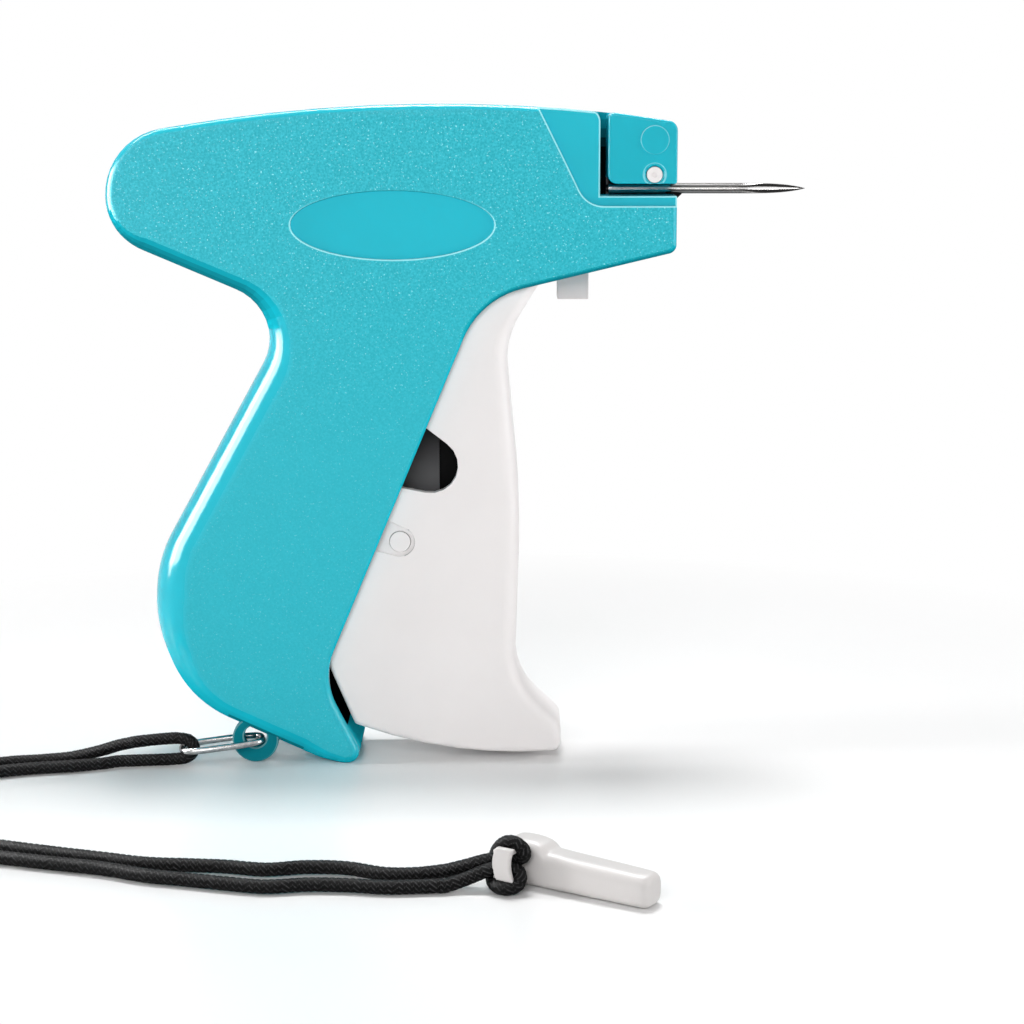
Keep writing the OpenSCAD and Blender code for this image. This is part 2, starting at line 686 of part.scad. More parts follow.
// Base that carries the needle in the nose, with a web under it at the front
module needle_base() {
    low = needle_z - base_drop;
    color(dark) difference() {
        union() {
            block(block_x + blade_t, nose_front - 0.3, 0.2, base_y, low, needle_z + base_rise);
            plate(-0.9, 2) polygon([
                [nose_front - 1.9, low], [nose_front - 1.9, needle_z],
                [nose_front + 1.8, needle_z - needle_d / 2], [nose_front + 0.3, low]
            ]);
        }
        rod(0, far, 0, needle_z, needle_d + 2 * pin_fit);
        pin(lock_x, lock_z, lock_d + 2 * seat_fit, -far, far);
    }
}

// Blade at the slot that cuts each fastener from its clip
module cutter_blade() {
    color(steel) difference() {
        block(block_x, block_x + blade_t, 0.2, base_y - 1, needle_z - base_drop, needle_z + base_rise);
        rod(0, far, 0, needle_z, needle_bore);
    }
}

// Lock that turns to free the needle: a shaft through the nose and a thumb tab on the far side
module needle_lock() {
    tab_y = nose_half + seat_fit / 2;
    color(white) difference() {
        union() {
            pin(lock_x, lock_z, lock_d, -nose_half + 0.15, half - seat_fit);
            pin(lock_x, lock_z, lock_hub_d, tab_y, half - seat_fit);
            rounded_plate([
                [lock_x - 2.2, lock_z + lock_tab, 1.2, 0], [lock_x + 2.2, lock_z + lock_tab, 1.2, 0],
                [lock_x + 3.1, lock_z, 0.2, 0], [lock_x - 3.1, lock_z, 0.2, 0]
            ], 6, tab_y, half - seat_fit);
        }
        pin(lock_x, lock_z, 1.1, -far, -nose_half + 0.6);
    }
}

// Toothed wheel that draws the clip of fasteners down the slot
module feed_wheel() {
    root = wheel_r - tooth_ded;
    tip = wheel_r + tooth_add;
    gap_at = wheel_bearing + 180 - tooth_step / 2;
    color(dark) difference() {
        translate([wheel_x, 0, wheel_z]) plate(-wheel_t / 2, wheel_t / 2) polygon(
            [for (k = [0:feed_teeth - 1]) let (a = gap_at + tooth_step * (k + 0.5))
                for (q = [[root, -5.5], [tip, -2.2], [tip, 2.2], [root, 5.5]])
                    [q[0] * cos(a + q[1]), q[0] * sin(a + q[1])]]
        );
        pin(wheel_x, wheel_z, axle_d + 2 * pin_fit, -far, far);
    }
}

// Axle of the feed wheel
module feed_wheel_axle() {
    color(steel) pin(wheel_x, wheel_z, axle_d, -inner, inner);
}

// Pawl on the trigger's hub that steps the feed wheel
module feed_pawl() {
    at = wheel_bearing + trigger_travel / 2;
    crown = pawl_r - 1.1;
    color(steel) at_pivot() difference() {
        plate(-pawl_t / 2, pawl_t / 2) union() {
            circle(d = pivot_pin_d + 4.4);
            rotate(at) polygon([
                [2, -2.4], [crown, -1.2], [crown, -0.36], [pawl_r + 0.5, -0.18], [pawl_r + 0.5, 0.18],
                [crown, 0.36], [crown, 1.2], [2, 2.4]
            ]);
        }
        pin(0, 0, pivot_pin_d + 2 * pin_fit, -far, far);
    }
}

// Release button under the nose; its hook keeps the feed wheel from turning back
module release_button() {
    tine_out = tine_in + tine_t;
    hook_low = wheel_z + wheel_r + tooth_add + slide_fit;
    pad_top = wheel_z - wheel_r - tooth_add - button_travel - slide_fit;
    x0 = button_x;
    x1 = button_x + button_l;
    slot_half = axle_d / 2 + slide_fit;
    color(white) difference() {
        union() {
            block(x0, x1, -button_w / 2, button_w / 2, button_low, flange_low);
            for (a = [0, 1]) mirror([0, a, 0]) {
                block(x0, x1 - lap, tine_in, button_w / 2 + flange_w, flange_low, flange_low + flange_t);
                block(x0, x1 - lap, tine_in, button_w / 2, flange_low - 1, flange_low + flange_t);
            }
            block(x0 + lap, x1 - lap, tine_in, tine_out, flange_low, hook_low + hook_t);
            block(wheel_x - 1, wheel_x + 1, 1, tine_out, hook_low, hook_low + hook_t);
        }
        block(x0 - 1, x1 + 1, -tine_in, tine_in, pad_top, flange_low + 0.01);
        block(
            wheel_x - slot_half, wheel_x + slot_half, tine_in - 1, tine_out + 1,
            wheel_z - slot_half - button_travel, wheel_z + slot_half
        );
    }
}

// Spring that pushes the release button down
module release_spring() {
    color(steel) translate([small_spring_x, -small_spring_y, flange_low + flange_t + small_spring_wire / 2])
        tube(release_path, small_spring_wire / 2, 6);
}

// Slide that carries the push rod
module plunger_slide() {
    color(black) difference() {
        block(
            slide_x - slide_tail, slide_x - slide_tail + slide_l, -slide_w / 2, slide_w / 2,
            needle_z - slide_h / 2, needle_z + slide_h / 2
        );
        block(
            slide_x - slide_tail - 1, slide_x - slide_tail + slide_l - slide_head,
            -arm_t / 2 - slide_fit, arm_t / 2 + slide_fit, needle_z - slide_h, needle_z + slide_h
        );
        pin(slide_x, needle_z, slide_pin_d + 2 * pin_fit, -far, far);
        rod(slide_x, far, 0, needle_z, rod_d + 2 * pin_fit);
    }
}

// Rod that pushes each fastener through the needle
module push_rod() {
    color(steel) rod(slide_x - slide_tail + slide_l - slide_head, slot_x - lap, 0, needle_z, rod_d);
}

// Pin across the slide that the lever drives
module slide_pin() {
    color(steel) pin(slide_x, needle_z, slide_pin_d, -slide_w / 2, slide_w / 2);
}

// Forked lever between the trigger and the slide
module drive_lever() {
    up = 90 + lever_swing / 2;
    top = lever_rise / cos(lever_swing / 2) + 4;
    fork = slide_pin_d / 2 + slide_slack;
    lower_fork = link_pin_d / 2 + link_slack;
    color(black) at_lever() difference() {
        union() {
            rounded_plate(lever_web(), 6, -lever_t / 2, lever_t / 2);
            plate(-arm_t / 2, arm_t / 2) rotate(up) polygon([
                [0, -7], [top - 12, -fork - tine], [top, -fork - tine],
                [top, fork + tine], [top - 12, fork + tine], [0, 7]
            ]);
        }
        plate(-far, far) rotate(up) translate([lever_rise - 3.4, -fork]) square([20, 2 * fork]);
        plate(-far, far) rotate(lower_bearing) translate([fork_start, -lower_fork])
            square([fork_l, 2 * lower_fork]);
        pin(0, 0, lever_pin_d + 2 * pin_fit, -far, far);
    }
}

function lever_web() = [
    [-lever_back, lever_top, 5, 0], [lever_top, lever_top - 1, 5, 0], [lever_front, -1, 4, 0],
    [lever_front, -11, 5, 0], [lever_front - 6, -lever_foot, 3, 0], [1 - lever_back, -lever_foot, 3, 0],
    [-lever_back - 3, -8, 8, 0]
];

// Steel wear plate riveted on the near face of the lever
module lever_plate() {
    lower_fork = link_pin_d / 2 + link_slack;
    color(dark) at_lever() difference() {
        rounded_plate([
            [1 - lever_back, lever_top - 1.5, 4, 0], [plate_front, lever_top - 1.5, 0.5, 0],
            [plate_front, 1.5 - lever_foot, 0.5, 0], [2 - lever_back, 1.5 - lever_foot, 2, 0],
            [-lever_back - 1, -6, 6, 0]
        ], 6, -lever_t / 2 - plate_t, -lever_t / 2);
        plate(-far, far) rotate(lower_bearing) translate([fork_start, -lower_fork])
            square([fork_l, 2 * lower_fork]);
        pin(0, 0, lever_pin_d + 2 * pin_fit, -far, far);
    }
}

// Pivot pin of the lever, held in a boss of each shell
module lever_pivot_pin() {
    color(steel) pin(lever_x, lever_z, lever_pin_d, -inner, inner);
}

// Trigger: a hollow moulding open at the back
module trigger() {
    shape = outline(trigger_corners, trigger_steps);
    rings = full_rings(shape, trigger_half, trigger_edge_steps);
    room = [for (q = outline(inset(trigger_corners, trigger_wall, 0.3), 3)) [q[0], q[1]]];
    room_half = trigger_half - trigger_wall;
    lug_in = pawl_t / 2 + seat_fit;
    arm_room = arm_t / 2 + slide_fit;
    color(white) union() {
        at_pivot() difference() {
            union() {
                difference() {
                    loft(rings, flat_cap(rings[0]), flat_cap(rings[len(rings) - 1]));
                    for (a = [0, 8]) rotate([0, a, 0]) plate(-room_half, room_half) polygon(room);
                }
                pin(0, 0, 2 * hub_r, lug_in, trigger_half - lap);
                pin(0, 0, 2 * hub_r, -trigger_half + lap, -lug_in);
            }
            rounded_plate(window_corners, 8, -far, far);
            pin(0, 0, pivot_pin_d + 2 * pin_fit, -far, far);
            plate(-lug_in, lug_in) rotate(wheel_bearing + trigger_travel / 2)
                translate([-pawl_room, -pawl_room]) square([20, 2 * pawl_room]);
            plate(-arm_room, arm_room) polygon([[-5, 8], [-5, -5], [-30, -40], [-60, -40], [-60, 8]]);
            translate([link_x - pivot_x, 0, link_z - pivot_z]) {
                pin(0, 0, link_pin_d + 2 * pin_fit, -far, far);
                for (a = [0, 1]) mirror([0, a, 0]) plate(-far, -trigger_half + ramp_depth) union() {
                    circle(r = ramp_r);
                    polygon([[1.58, 2.9], [-12, 9.4], [-12, -0.4], [-0.8, -3.2]]);
                }
            }
        }
        spring_wall();
    }
}

// Cross wall and post in the trigger that the return spring bears on
module spring_wall() {
    room_half = trigger_half - trigger_wall;
    spring_frame() {
        translate([0, -room_half - lap, -spring_d / 2 - 1])
            cube([seat_t, 2 * (room_half + lap), spring_d + 2]);
        translate([-post_l, 0, 0]) rotate([0, 90, 0])
            cylinder(h = post_l + lap, d = spring_d - 2 * spring_wire - 0.6);
    }
}

// Pivot pin of the trigger
module trigger_pivot_pin() {
    color(steel) pin(pivot_x, pivot_z, pivot_pin_d, -inner, inner);
}

// Pin in the trigger that drives the lever's lower fork
module trigger_link_pin() {
    color(white) pin(link_x, link_z, link_pin_d, -trigger_half + ramp_depth / 2, trigger_half - ramp_depth / 2);
}

// Coil spring that returns the trigger
module return_spring() {
    color(steel) spring_frame() translate([-spring_wire / 2 - seat_fit / 2, 0, 0]) rotate([0, -90, 0])
        tube(return_path, spring_wire / 2, 6);
}

// Makes an oval out of a circle's sine or cosine
function blunt(v) = sign(v) * abs(v) ^ 0.6;

// Oval wire clip in the lug
module wire_clip() {
    middle = (clip_right + clip_left) / 2;
    reach = (clip_right - clip_left) / 2;
    across = unit(cross([0, 0, 1], reach));
    path = [for (k = [0:clip_rings - 1]) let (a = 360 * k / clip_rings)
        middle + blunt(cos(a)) * reach + blunt(sin(a)) * clip_half * across];
    rings = [for (k = [0:clip_rings - 1])
        let (
            t = unit(path[(k + 1) % clip_rings] - path[(k + clip_rings - 1) % clip_rings]),
            s = unit(cross(t, [0, 0, 1])),
            v = cross(s, t)
        )
        [for (i = [0:7]) path[k] + clip_wire / 2 * (cos(45 * i) * s + sin(45 * i) * v)]];
    color(steel) ring_loft(rings);
}

// Cord looped round the clip
module clip_hitch() {
    color(black) tube(smooth(clip_hitch_route, 4), cord_d / 2, cord_sides, [0.1, 1, 0.1]);
}

// First strand of the lanyard
module lanyard_strand_a() {
    color(black) tube(smooth(strand_a_route, route_steps), cord_d / 2, cord_sides);
}

// Second strand of the lanyard
module lanyard_strand_b() {
    color(black) tube(smooth(strand_b_route, route_steps), cord_d / 2, cord_sides);
}

// Cord looped round the cap's bail
module cap_hitch() {
    color(black) tube(smooth(cap_hitch_route, 4), cord_d / 2, cord_sides);
}

// Needle cap: a squared tapered tube that lies flat, with a collar raised on top and a bail for the cord
module needle_cap() {
    // Sections from the mouth to the closed end: x, width, height, lift of the underside
    sections = [
        [0, cap_neck_d - 0.8, cap_collar_h - 0.8, 0.3], [0.6, cap_neck_d, cap_collar_h - 0.1, 0],
        [3, cap_neck_d, cap_collar_h, 0], [cap_collar_l - 2.4, cap_neck_d, cap_collar_h - 0.4, 0],
        [cap_collar_l - 0.8, cap_neck_d, (cap_collar_h + cap_neck_d) / 2, 0],
        [cap_collar_l, cap_neck_d, cap_neck_d, 0], [cap_l - 1.4, cap_end_d, cap_end_d, 0],
        [cap_l - 0.4, cap_end_d - 1, cap_end_d - 1, 0.5], [cap_l, cap_end_d - 2.2, cap_end_d - 2.2, 1.1]
    ];
    rings = [for (q = sections) cap_ring(q[0], q[1], q[2], q[3])];
    color(white) translate([cap_x, cap_y, 0]) rotate([0, 0, cap_turn]) difference() {
        union() {
            loft(rings, fan_cap(rings[0]), fan_cap(rings[0]));
            for (z = [bail_low, bail_high - bail_leg])
                block(bail_x, bail_x + bail_w, lap - bail_reach, lap - cap_neck_d / 2, z, z + bail_leg);
            block(bail_x, bail_x + bail_w, -cap_neck_d / 2, -1, bail_high - bail_leg, bail_high);
            plate(-bail_reach, bail_t - bail_reach) polygon(concat(
                [for (k = [0:6]) bail_edge(k / 6)], [for (k = [6:-1:0]) bail_edge(k / 6) + [bail_w, 0]]
            ));
        }
        rod(-lap, cap_l - 1.5, 0, cap_bore_z, cap_bore_d);
    }
}

// Left edge of the bail's band at a share s of its height
function bail_edge(s) =
    [bail_x + bail_bow * (2 * s - 1) ^ 2, bail_low - bail_lip + s * (bail_high - bail_low + 2 * bail_lip)];

// Section of the cap at x: an oval drawn square, from its underside up
function cap_ring(x, w, h, lift) =
    [for (k = [0:cap_sides - 1]) let (a = -360 * k / cap_sides)
        [x, w / 2 * blunt(cos(a)), lift + h / 2 * (1 + blunt(sin(a)))]];

right_shell();
left_shell();
nose_block();
case_screws();
needle();
needle_base();
cutter_blade();
needle_lock();
feed_wheel();
feed_wheel_axle();
feed_pawl();
release_button();
release_spring();
plunger_slide();
push_rod();
slide_pin();
drive_lever();
lever_plate();
lever_pivot_pin();
trigger();
trigger_pivot_pin();
trigger_link_pin();
return_spring();
wire_clip();
clip_hitch();
lanyard_strand_a();
lanyard_strand_b();
cap_hitch();
needle_cap();
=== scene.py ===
# %% [markdown]
# # A fabric tagging tool
# The construction model comes in first, as a fixed frame: every solid is in metres, in its place.
# This lesson dresses those solids. Some keep their shape and get softer edges and a better finish.
# Others, such as the braided cord, the needle and the springs, are made again with finer forms.

# %% Load the frame
import json
import math

import bmesh
import bpy
from mathutils import Matrix, Vector

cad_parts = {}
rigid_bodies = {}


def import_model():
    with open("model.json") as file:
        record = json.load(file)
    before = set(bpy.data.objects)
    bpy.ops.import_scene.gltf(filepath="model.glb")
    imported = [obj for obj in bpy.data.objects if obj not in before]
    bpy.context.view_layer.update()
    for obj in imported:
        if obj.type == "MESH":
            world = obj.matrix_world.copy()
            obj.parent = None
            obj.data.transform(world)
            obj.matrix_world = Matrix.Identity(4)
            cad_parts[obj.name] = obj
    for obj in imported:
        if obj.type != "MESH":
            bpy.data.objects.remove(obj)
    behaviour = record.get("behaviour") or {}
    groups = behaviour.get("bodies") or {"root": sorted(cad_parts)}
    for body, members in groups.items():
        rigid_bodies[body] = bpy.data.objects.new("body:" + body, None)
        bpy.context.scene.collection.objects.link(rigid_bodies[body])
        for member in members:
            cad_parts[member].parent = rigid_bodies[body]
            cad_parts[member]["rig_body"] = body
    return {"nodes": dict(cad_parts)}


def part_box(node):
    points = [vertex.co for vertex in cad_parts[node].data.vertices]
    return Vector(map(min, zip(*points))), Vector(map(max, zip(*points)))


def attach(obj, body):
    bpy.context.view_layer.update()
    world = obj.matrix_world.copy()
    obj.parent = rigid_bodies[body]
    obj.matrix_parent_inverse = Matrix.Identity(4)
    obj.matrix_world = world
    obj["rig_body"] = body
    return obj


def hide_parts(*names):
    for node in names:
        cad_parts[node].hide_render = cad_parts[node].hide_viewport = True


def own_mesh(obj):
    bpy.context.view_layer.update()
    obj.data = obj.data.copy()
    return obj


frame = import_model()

MM = 0.001
scene = bpy.context.scene
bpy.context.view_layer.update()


def mm(x, y, z):
    """A point given in millimetres, in Blender's metres."""
    return Vector((x, y, z)) * MM


def clamp(value):
    """A value kept between 0 and 1."""
    return min(1.0, max(0.0, value))


# %% [markdown]
# ## The camera
# A product photograph like this is taken from a little over half a metre with a long lens, so the
# needle and the grip keep their true proportions. The camera looks slightly down at the table.
# Its pitch is the angle of the line from the camera to the point it looks at.

# %% Place the camera
camera_at = mm(11.9, -520, 150)
camera_aim = mm(11.9, 0, 56.5)
camera_data = bpy.data.cameras.new("camera")
camera_data.sensor_width = 36
camera_data.lens = 80.76
camera_data.clip_start = 0.01
camera = bpy.data.objects.new("camera", camera_data)
scene.collection.objects.link(camera)
camera.location = camera_at
camera.rotation_euler = (camera_aim - camera_at).to_track_quat("-Z", "Y").to_euler()
scene.camera = camera
print("camera pitch", round(math.degrees(camera.rotation_euler.x) - 90, 2), "degrees")

# %% [markdown]
# ## Small helpers for node trees
# Materials and Geometry Nodes are both trees of nodes and links. Two short helpers keep the cells
# that build them readable: one adds a node, sets its properties and fills its inputs, the other
# does that for a sum or a product. An input takes a plain value, or an output of another node.

# %% Node helpers


def add_node(tree, kind, inputs=None, **settings):
    """Add a node; inputs maps a socket's name or number to a value or to another node's output."""
    node = tree.nodes.new(kind)
    for key, value in settings.items():
        setattr(node, key, value)
    for key, value in (inputs or {}).items():
        if isinstance(value, bpy.types.NodeSocket):
            tree.links.new(value, node.inputs[key])
        else:
            node.inputs[key].default_value = value
    return node


def math_node(tree, operation, a, b=None, c=None):
    """A Math node's output."""
    values = {0: a, 1: b, 2: c}
    given = {k: v for k, v in values.items() if v is not None}
    return add_node(tree, "ShaderNodeMath", given, operation=operation).outputs[0]


# %% [markdown]
# ## Geometry Nodes as a workshop
# A tree of Geometry Nodes takes a simple source, such as a curve or a few points, and makes a piece
# from it. Every tree here has named inputs for its sizes, and ends by making its instances real and
# setting the finish. Its result is then turned into a plain mesh, because a finished piece should
# not depend on a modifier.

# %% Start, end and run a tree


def new_tree(name, sockets):
    """An empty Geometry Nodes tree with named inputs, each a (name, socket type) pair."""
    tree = bpy.data.node_groups.new(name, "GeometryNodeTree")
    tree.interface.new_socket("Geometry", in_out="OUTPUT", socket_type="NodeSocketGeometry")
    for title, kind in sockets:
        tree.interface.new_socket(title, in_out="INPUT", socket_type=kind)
    return tree, tree.nodes.new("NodeGroupInput"), tree.nodes.new("NodeGroupOutput")


def end_tree(tree, shape, given, result, smooth=True):
    """End a tree: shade the shape smooth if asked, make its instances real and set the finish."""
    if smooth:
        shape = add_node(tree, "GeometryNodeSetShadeSmooth", {"Geometry": shape}).outputs[0]
    real = add_node(tree, "GeometryNodeRealizeInstances", {"Geometry": shape})
    dressed = add_node(tree, "GeometryNodeSetMaterial", {
        "Geometry": real.outputs[0], "Material": given.outputs["Finish"],
    })
    tree.links.new(dressed.outputs[0], result.inputs[0])


def run_tree(tree, name, source, values):
    """Run a tree on a source object and return its result as a plain mesh object at the origin."""
    modifier = source.modifiers.new("nodes", "NODES")
    modifier.node_group = tree
    for item in tree.interface.items_tree:
        if item.item_type == "SOCKET" and item.in_out == "INPUT" and item.name in values:
            modifier[item.identifier] = values[item.name]
    graph = bpy.context.evaluated_depsgraph_get()
    mesh = bpy.data.meshes.new_from_object(source.evaluated_get(graph))
    source.modifiers.remove(modifier)
    bpy.data.objects.remove(source)
    mesh.name = name
    piece = bpy.data.objects.new(name, mesh)
    scene.collection.objects.link(piece)
    print(name, "has", len(mesh.polygons), "faces")
    return piece


def poly_curve(name, points):
    """A curve object with one open poly spline through the points."""
    data = bpy.data.curves.new(name, "CURVE")
    data.dimensions = "3D"
    spline = data.splines.new("POLY")
    spline.points.add(len(points) - 1)
    for knot, p in zip(spline.points, points):
        knot.co = (*p, 1)
    curve = bpy.data.objects.new(name, data)
    scene.collection.objects.link(curve)
    return curve


# %% Stand a piece in for a solid


def put(piece, node):
    """Let a piece stand for a CAD node, on that node's body."""
    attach(piece, frame["nodes"][node]["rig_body"])
    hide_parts(node)
    return piece


# %% [markdown]
# ## A finish starts with its shader
# Every finish in this lesson is one Principled shader whose colour, roughness and bump come from
# procedural textures on Object coordinates. These helpers start such a material and fill it. Numbers
# that are the same all over the piece are set on the shader itself.

# %% Start a finish


def new_finish(name, **constants):
    """A material with a Principled shader; returns it with its tree, shader and Object coordinates."""
    finish = bpy.data.materials.new(name)
    finish.use_nodes = True
    tree = finish.node_tree
    shader = tree.nodes["Principled BSDF"]
    for key, value in constants.items():
        shader.inputs[key.replace("_", " ")].default_value = value
    place = add_node(tree, "ShaderNodeTexCoord").outputs["Object"]
    print("finish:", name)
    return finish, tree, shader, place


def feed(tree, shader, **outputs):
    """Link outputs of nodes to the shader's inputs, by name."""
    for key, output in outputs.items():
        tree.links.new(output, shader.inputs[key.replace("_", " ")])


# %% Fill a finish


def attribute(tree, name):
    """A number that is stored on the mesh."""
    return add_node(tree, "ShaderNodeAttribute", attribute_name=name).outputs["Fac"]


def noise(tree, place, scale, detail=2.0, rough=0.5):
    """The value of a noise texture on the given coordinates."""
    return add_node(
        tree, "ShaderNodeTexNoise",
        {"Vector": place, "Scale": scale, "Detail": detail, "Roughness": rough},
    ).outputs[0]


def remap(tree, value, low, high, to_low=0.0, to_high=1.0):
    """A value mapped from one range to another and clamped."""
    return add_node(
        tree, "ShaderNodeMapRange",
        {0: value, 1: low, 2: high, 3: to_low, 4: to_high},
    ).outputs[0]


def blend_colours(tree, share, first, second):
    """A mix of two colours, each a colour or another node's output."""
    node = tree.nodes.new("ShaderNodeMix")
    node.data_type = "RGBA"
    tree.links.new(share, node.inputs[0])
    for socket, value in ((node.inputs[6], first), (node.inputs[7], second)):
        if isinstance(value, bpy.types.NodeSocket):
            tree.links.new(value, socket)
        else:
            socket.default_value = (*value, 1)
    return node.outputs[2]


def bump(tree, shader, height, depth, strength):
    """Give the shader a bump of the given depth in metres."""
    node = add_node(tree, "ShaderNodeBump", {
        "Strength": strength, "Distance": depth, "Height": height,
    })
    tree.links.new(node.outputs[0], shader.inputs["Normal"])


# %% [markdown]
# ## The braided cord
# The lanyard is a thin black nylon cord, braided from sixteen flat bundles of yarn. Half of them
# wind to the left and half to the right, over and under each other. A painted stripe would look
# flat, so a Geometry Nodes tree sweeps a round section along the route and lifts each point by the
# height of the bundle that is on top there. The height is kept as an attribute for the finish.

# %% Finish of the cord
YARN_DARK = (0.0012, 0.0012, 0.0013)
YARN_PAINTED_HIGHLIGHT = (0.062, 0.062, 0.064)
cord_finish, tree, shader, place = new_finish("braided nylon", Specular_IOR_Level=0.08)
yarn = noise(tree, place, 5200, 2.0, 0.6)
# Painted highlight: the crests of the bundles are blended towards a paler colour that stands in for the
# light they catch.
crest = remap(tree, attribute(tree, "weave"), 0.72, 1.0)
painted_light = math_node(tree, "MULTIPLY", crest, remap(tree, yarn, 0.35, 0.7, 0.3, 1.0))
feed(
    tree, shader, Base_Color=blend_colours(tree, painted_light, YARN_DARK, YARN_PAINTED_HIGHLIGHT),
    Roughness=remap(tree, yarn, 0.3, 0.7, 0.42, 0.62),
)
bump(tree, shader, yarn, 0.05 * MM, 0.6)

# %% Tree of the cord: the swept section
SWEEP_STEP = 0.34 * MM
SECTION_POINTS = 32
cord_tree, given, result = new_tree("braided cord", [
    ("Geometry", "NodeSocketGeometry"), ("Diameter", "NodeSocketFloat"), ("Bundles", "NodeSocketFloat"),
    ("Lay length", "NodeSocketFloat"), ("Relief", "NodeSocketFloat"), ("Finish", "NodeSocketMaterial"),
])
t = cord_tree


def captured(tree, shape, name, value):
    """Keep a value on each point of a shape; returns the shape and the kept value."""
    node = add_node(tree, "GeometryNodeCaptureAttribute", {"Geometry": shape}, domain="POINT")
    node.capture_items.new("FLOAT", name)
    tree.links.new(value, node.inputs[1])
    return node.outputs[0], node.outputs[1]


fine = add_node(t, "GeometryNodeResampleCurve", {
    "Curve": given.outputs["Geometry"], "Length": SWEEP_STEP,
}, mode="LENGTH")
spline = t.nodes.new("GeometryNodeSplineParameter")
path, along = captured(t, fine.outputs[0], "along", spline.outputs["Length"])
radius = math_node(t, "MULTIPLY", given.outputs["Diameter"], 0.5)
core = math_node(t, "SUBTRACT", radius, given.outputs["Relief"])
section = add_node(t, "GeometryNodeCurvePrimitiveCircle", {
    "Resolution": SECTION_POINTS, "Radius": core,
}, mode="RADIUS")
rim, around = captured(t, section.outputs[0], "around", spline.outputs["Factor"])
tube = add_node(t, "GeometryNodeCurveToMesh", {"Curve": path, "Profile Curve": rim, "Fill Caps": True})
print("the cord's section has", SECTION_POINTS, "points")

# %% Tree of the cord: the braid on it


def bundle_crown(tree, place):
    """The rounded height of the bundles, whose borders lie at whole numbers."""
    return math_node(tree, "SINE", math_node(tree, "MULTIPLY", math_node(tree, "FRACT", place), math.pi))


turn = math_node(t, "MULTIPLY", around, given.outputs["Bundles"])
step = math_node(t, "DIVIDE", along, given.outputs["Lay length"])
left = math_node(t, "ADD", turn, step)
right = math_node(t, "SUBTRACT", turn, step)
cell = math_node(t, "ADD", math_node(t, "FLOOR", left), math_node(t, "FLOOR", right))
on_top = math_node(t, "FLOORED_MODULO", cell, 2.0)
pick_left = math_node(t, "MULTIPLY", bundle_crown(t, left), math_node(t, "SUBTRACT", 1.0, on_top))
crown = math_node(t, "ADD", pick_left, math_node(t, "MULTIPLY", bundle_crown(t, right), on_top))
height = math_node(t, "MULTIPLY", crown, given.outputs["Relief"])
normal = t.nodes.new("GeometryNodeInputNormal").outputs[0]
lift = add_node(t, "ShaderNodeVectorMath", {0: normal, "Scale": height}, operation="SCALE")
raised = add_node(t, "GeometryNodeSetPosition", {"Geometry": tube.outputs[0], "Offset": lift.outputs[0]})
kept = add_node(t, "GeometryNodeStoreNamedAttribute", {
    "Geometry": raised.outputs[0], "Name": "weave", "Value": crown,
}, data_type="FLOAT", domain="POINT")
end_tree(t, kept.outputs[0], given, result)
print("the cord's tree has", len(t.nodes), "nodes")

# %% [markdown]
# ## The route of the cord
# Two strands run from the wire clip along the table to the cap, and a hitch ties them at each end.
# Each route repeats the points of the construction model and is smoothed with the same blend, so the
# braid lies just where the solid does.

# %% Routes of the two strands and the two hitches, in millimetres
strand_routes = {
    "lanyard_strand_a": [
        (-74.4, -14.3, 1.5), (-78, -15, 1.5), (-81, -16.7, 1.5), (-88, -18.8, 1.5), (-97, -20.8, 1.5),
        (-107, -25, 1.5), (-116, -32.5, 1.5), (-120.5, -43, 1.5), (-119, -54, 1.5), (-112, -63.5, 1.5),
        (-102, -70.5, 1.5), (-91, -75.5, 1.5), (-80, -79.5, 1.5), (-69.3, -83.1, 1.5),
        (-60.3, -86.1, 1.5), (-52.3, -87, 1.5), (-44.3, -87.9, 1.5), (-36.3, -89.7, 1.5),
        (-28.6, -88.2, 1.5), (-20.7, -88.8, 1.5), (-12.6, -92.3, 1.5), (-6, -93.6, 2),
        (-0.6, -94.6, 3),
    ],
    "lanyard_strand_b": [
        (-74.4, -12.6, 5.35), (-78, -12.6, 4.6), (-82, -12.7, 3.4), (-88, -12.9, 2), (-94, -13.6, 1.5),
        (-104, -16.2, 1.5), (-115, -22.5, 1.5), (-123.5, -33.5, 1.5), (-126, -46, 1.5),
        (-123, -58.5, 1.5), (-115, -69, 1.5), (-104, -76.5, 1.5), (-92, -81.5, 1.5), (-80, -85.5, 1.5),
        (-68.3, -89.1, 1.5), (-59.2, -93.2, 1.5), (-51.1, -95.5, 1.5), (-43.1, -97.8, 1.5),
        (-35.2, -99.6, 1.5), (-27.6, -98.4, 1.5), (-19.9, -98.7, 1.5), (-12.1, -99.9, 1.5),
        (-5, -99.4, 1.5), (-0.6, -98.9, 1.5),
    ],
}
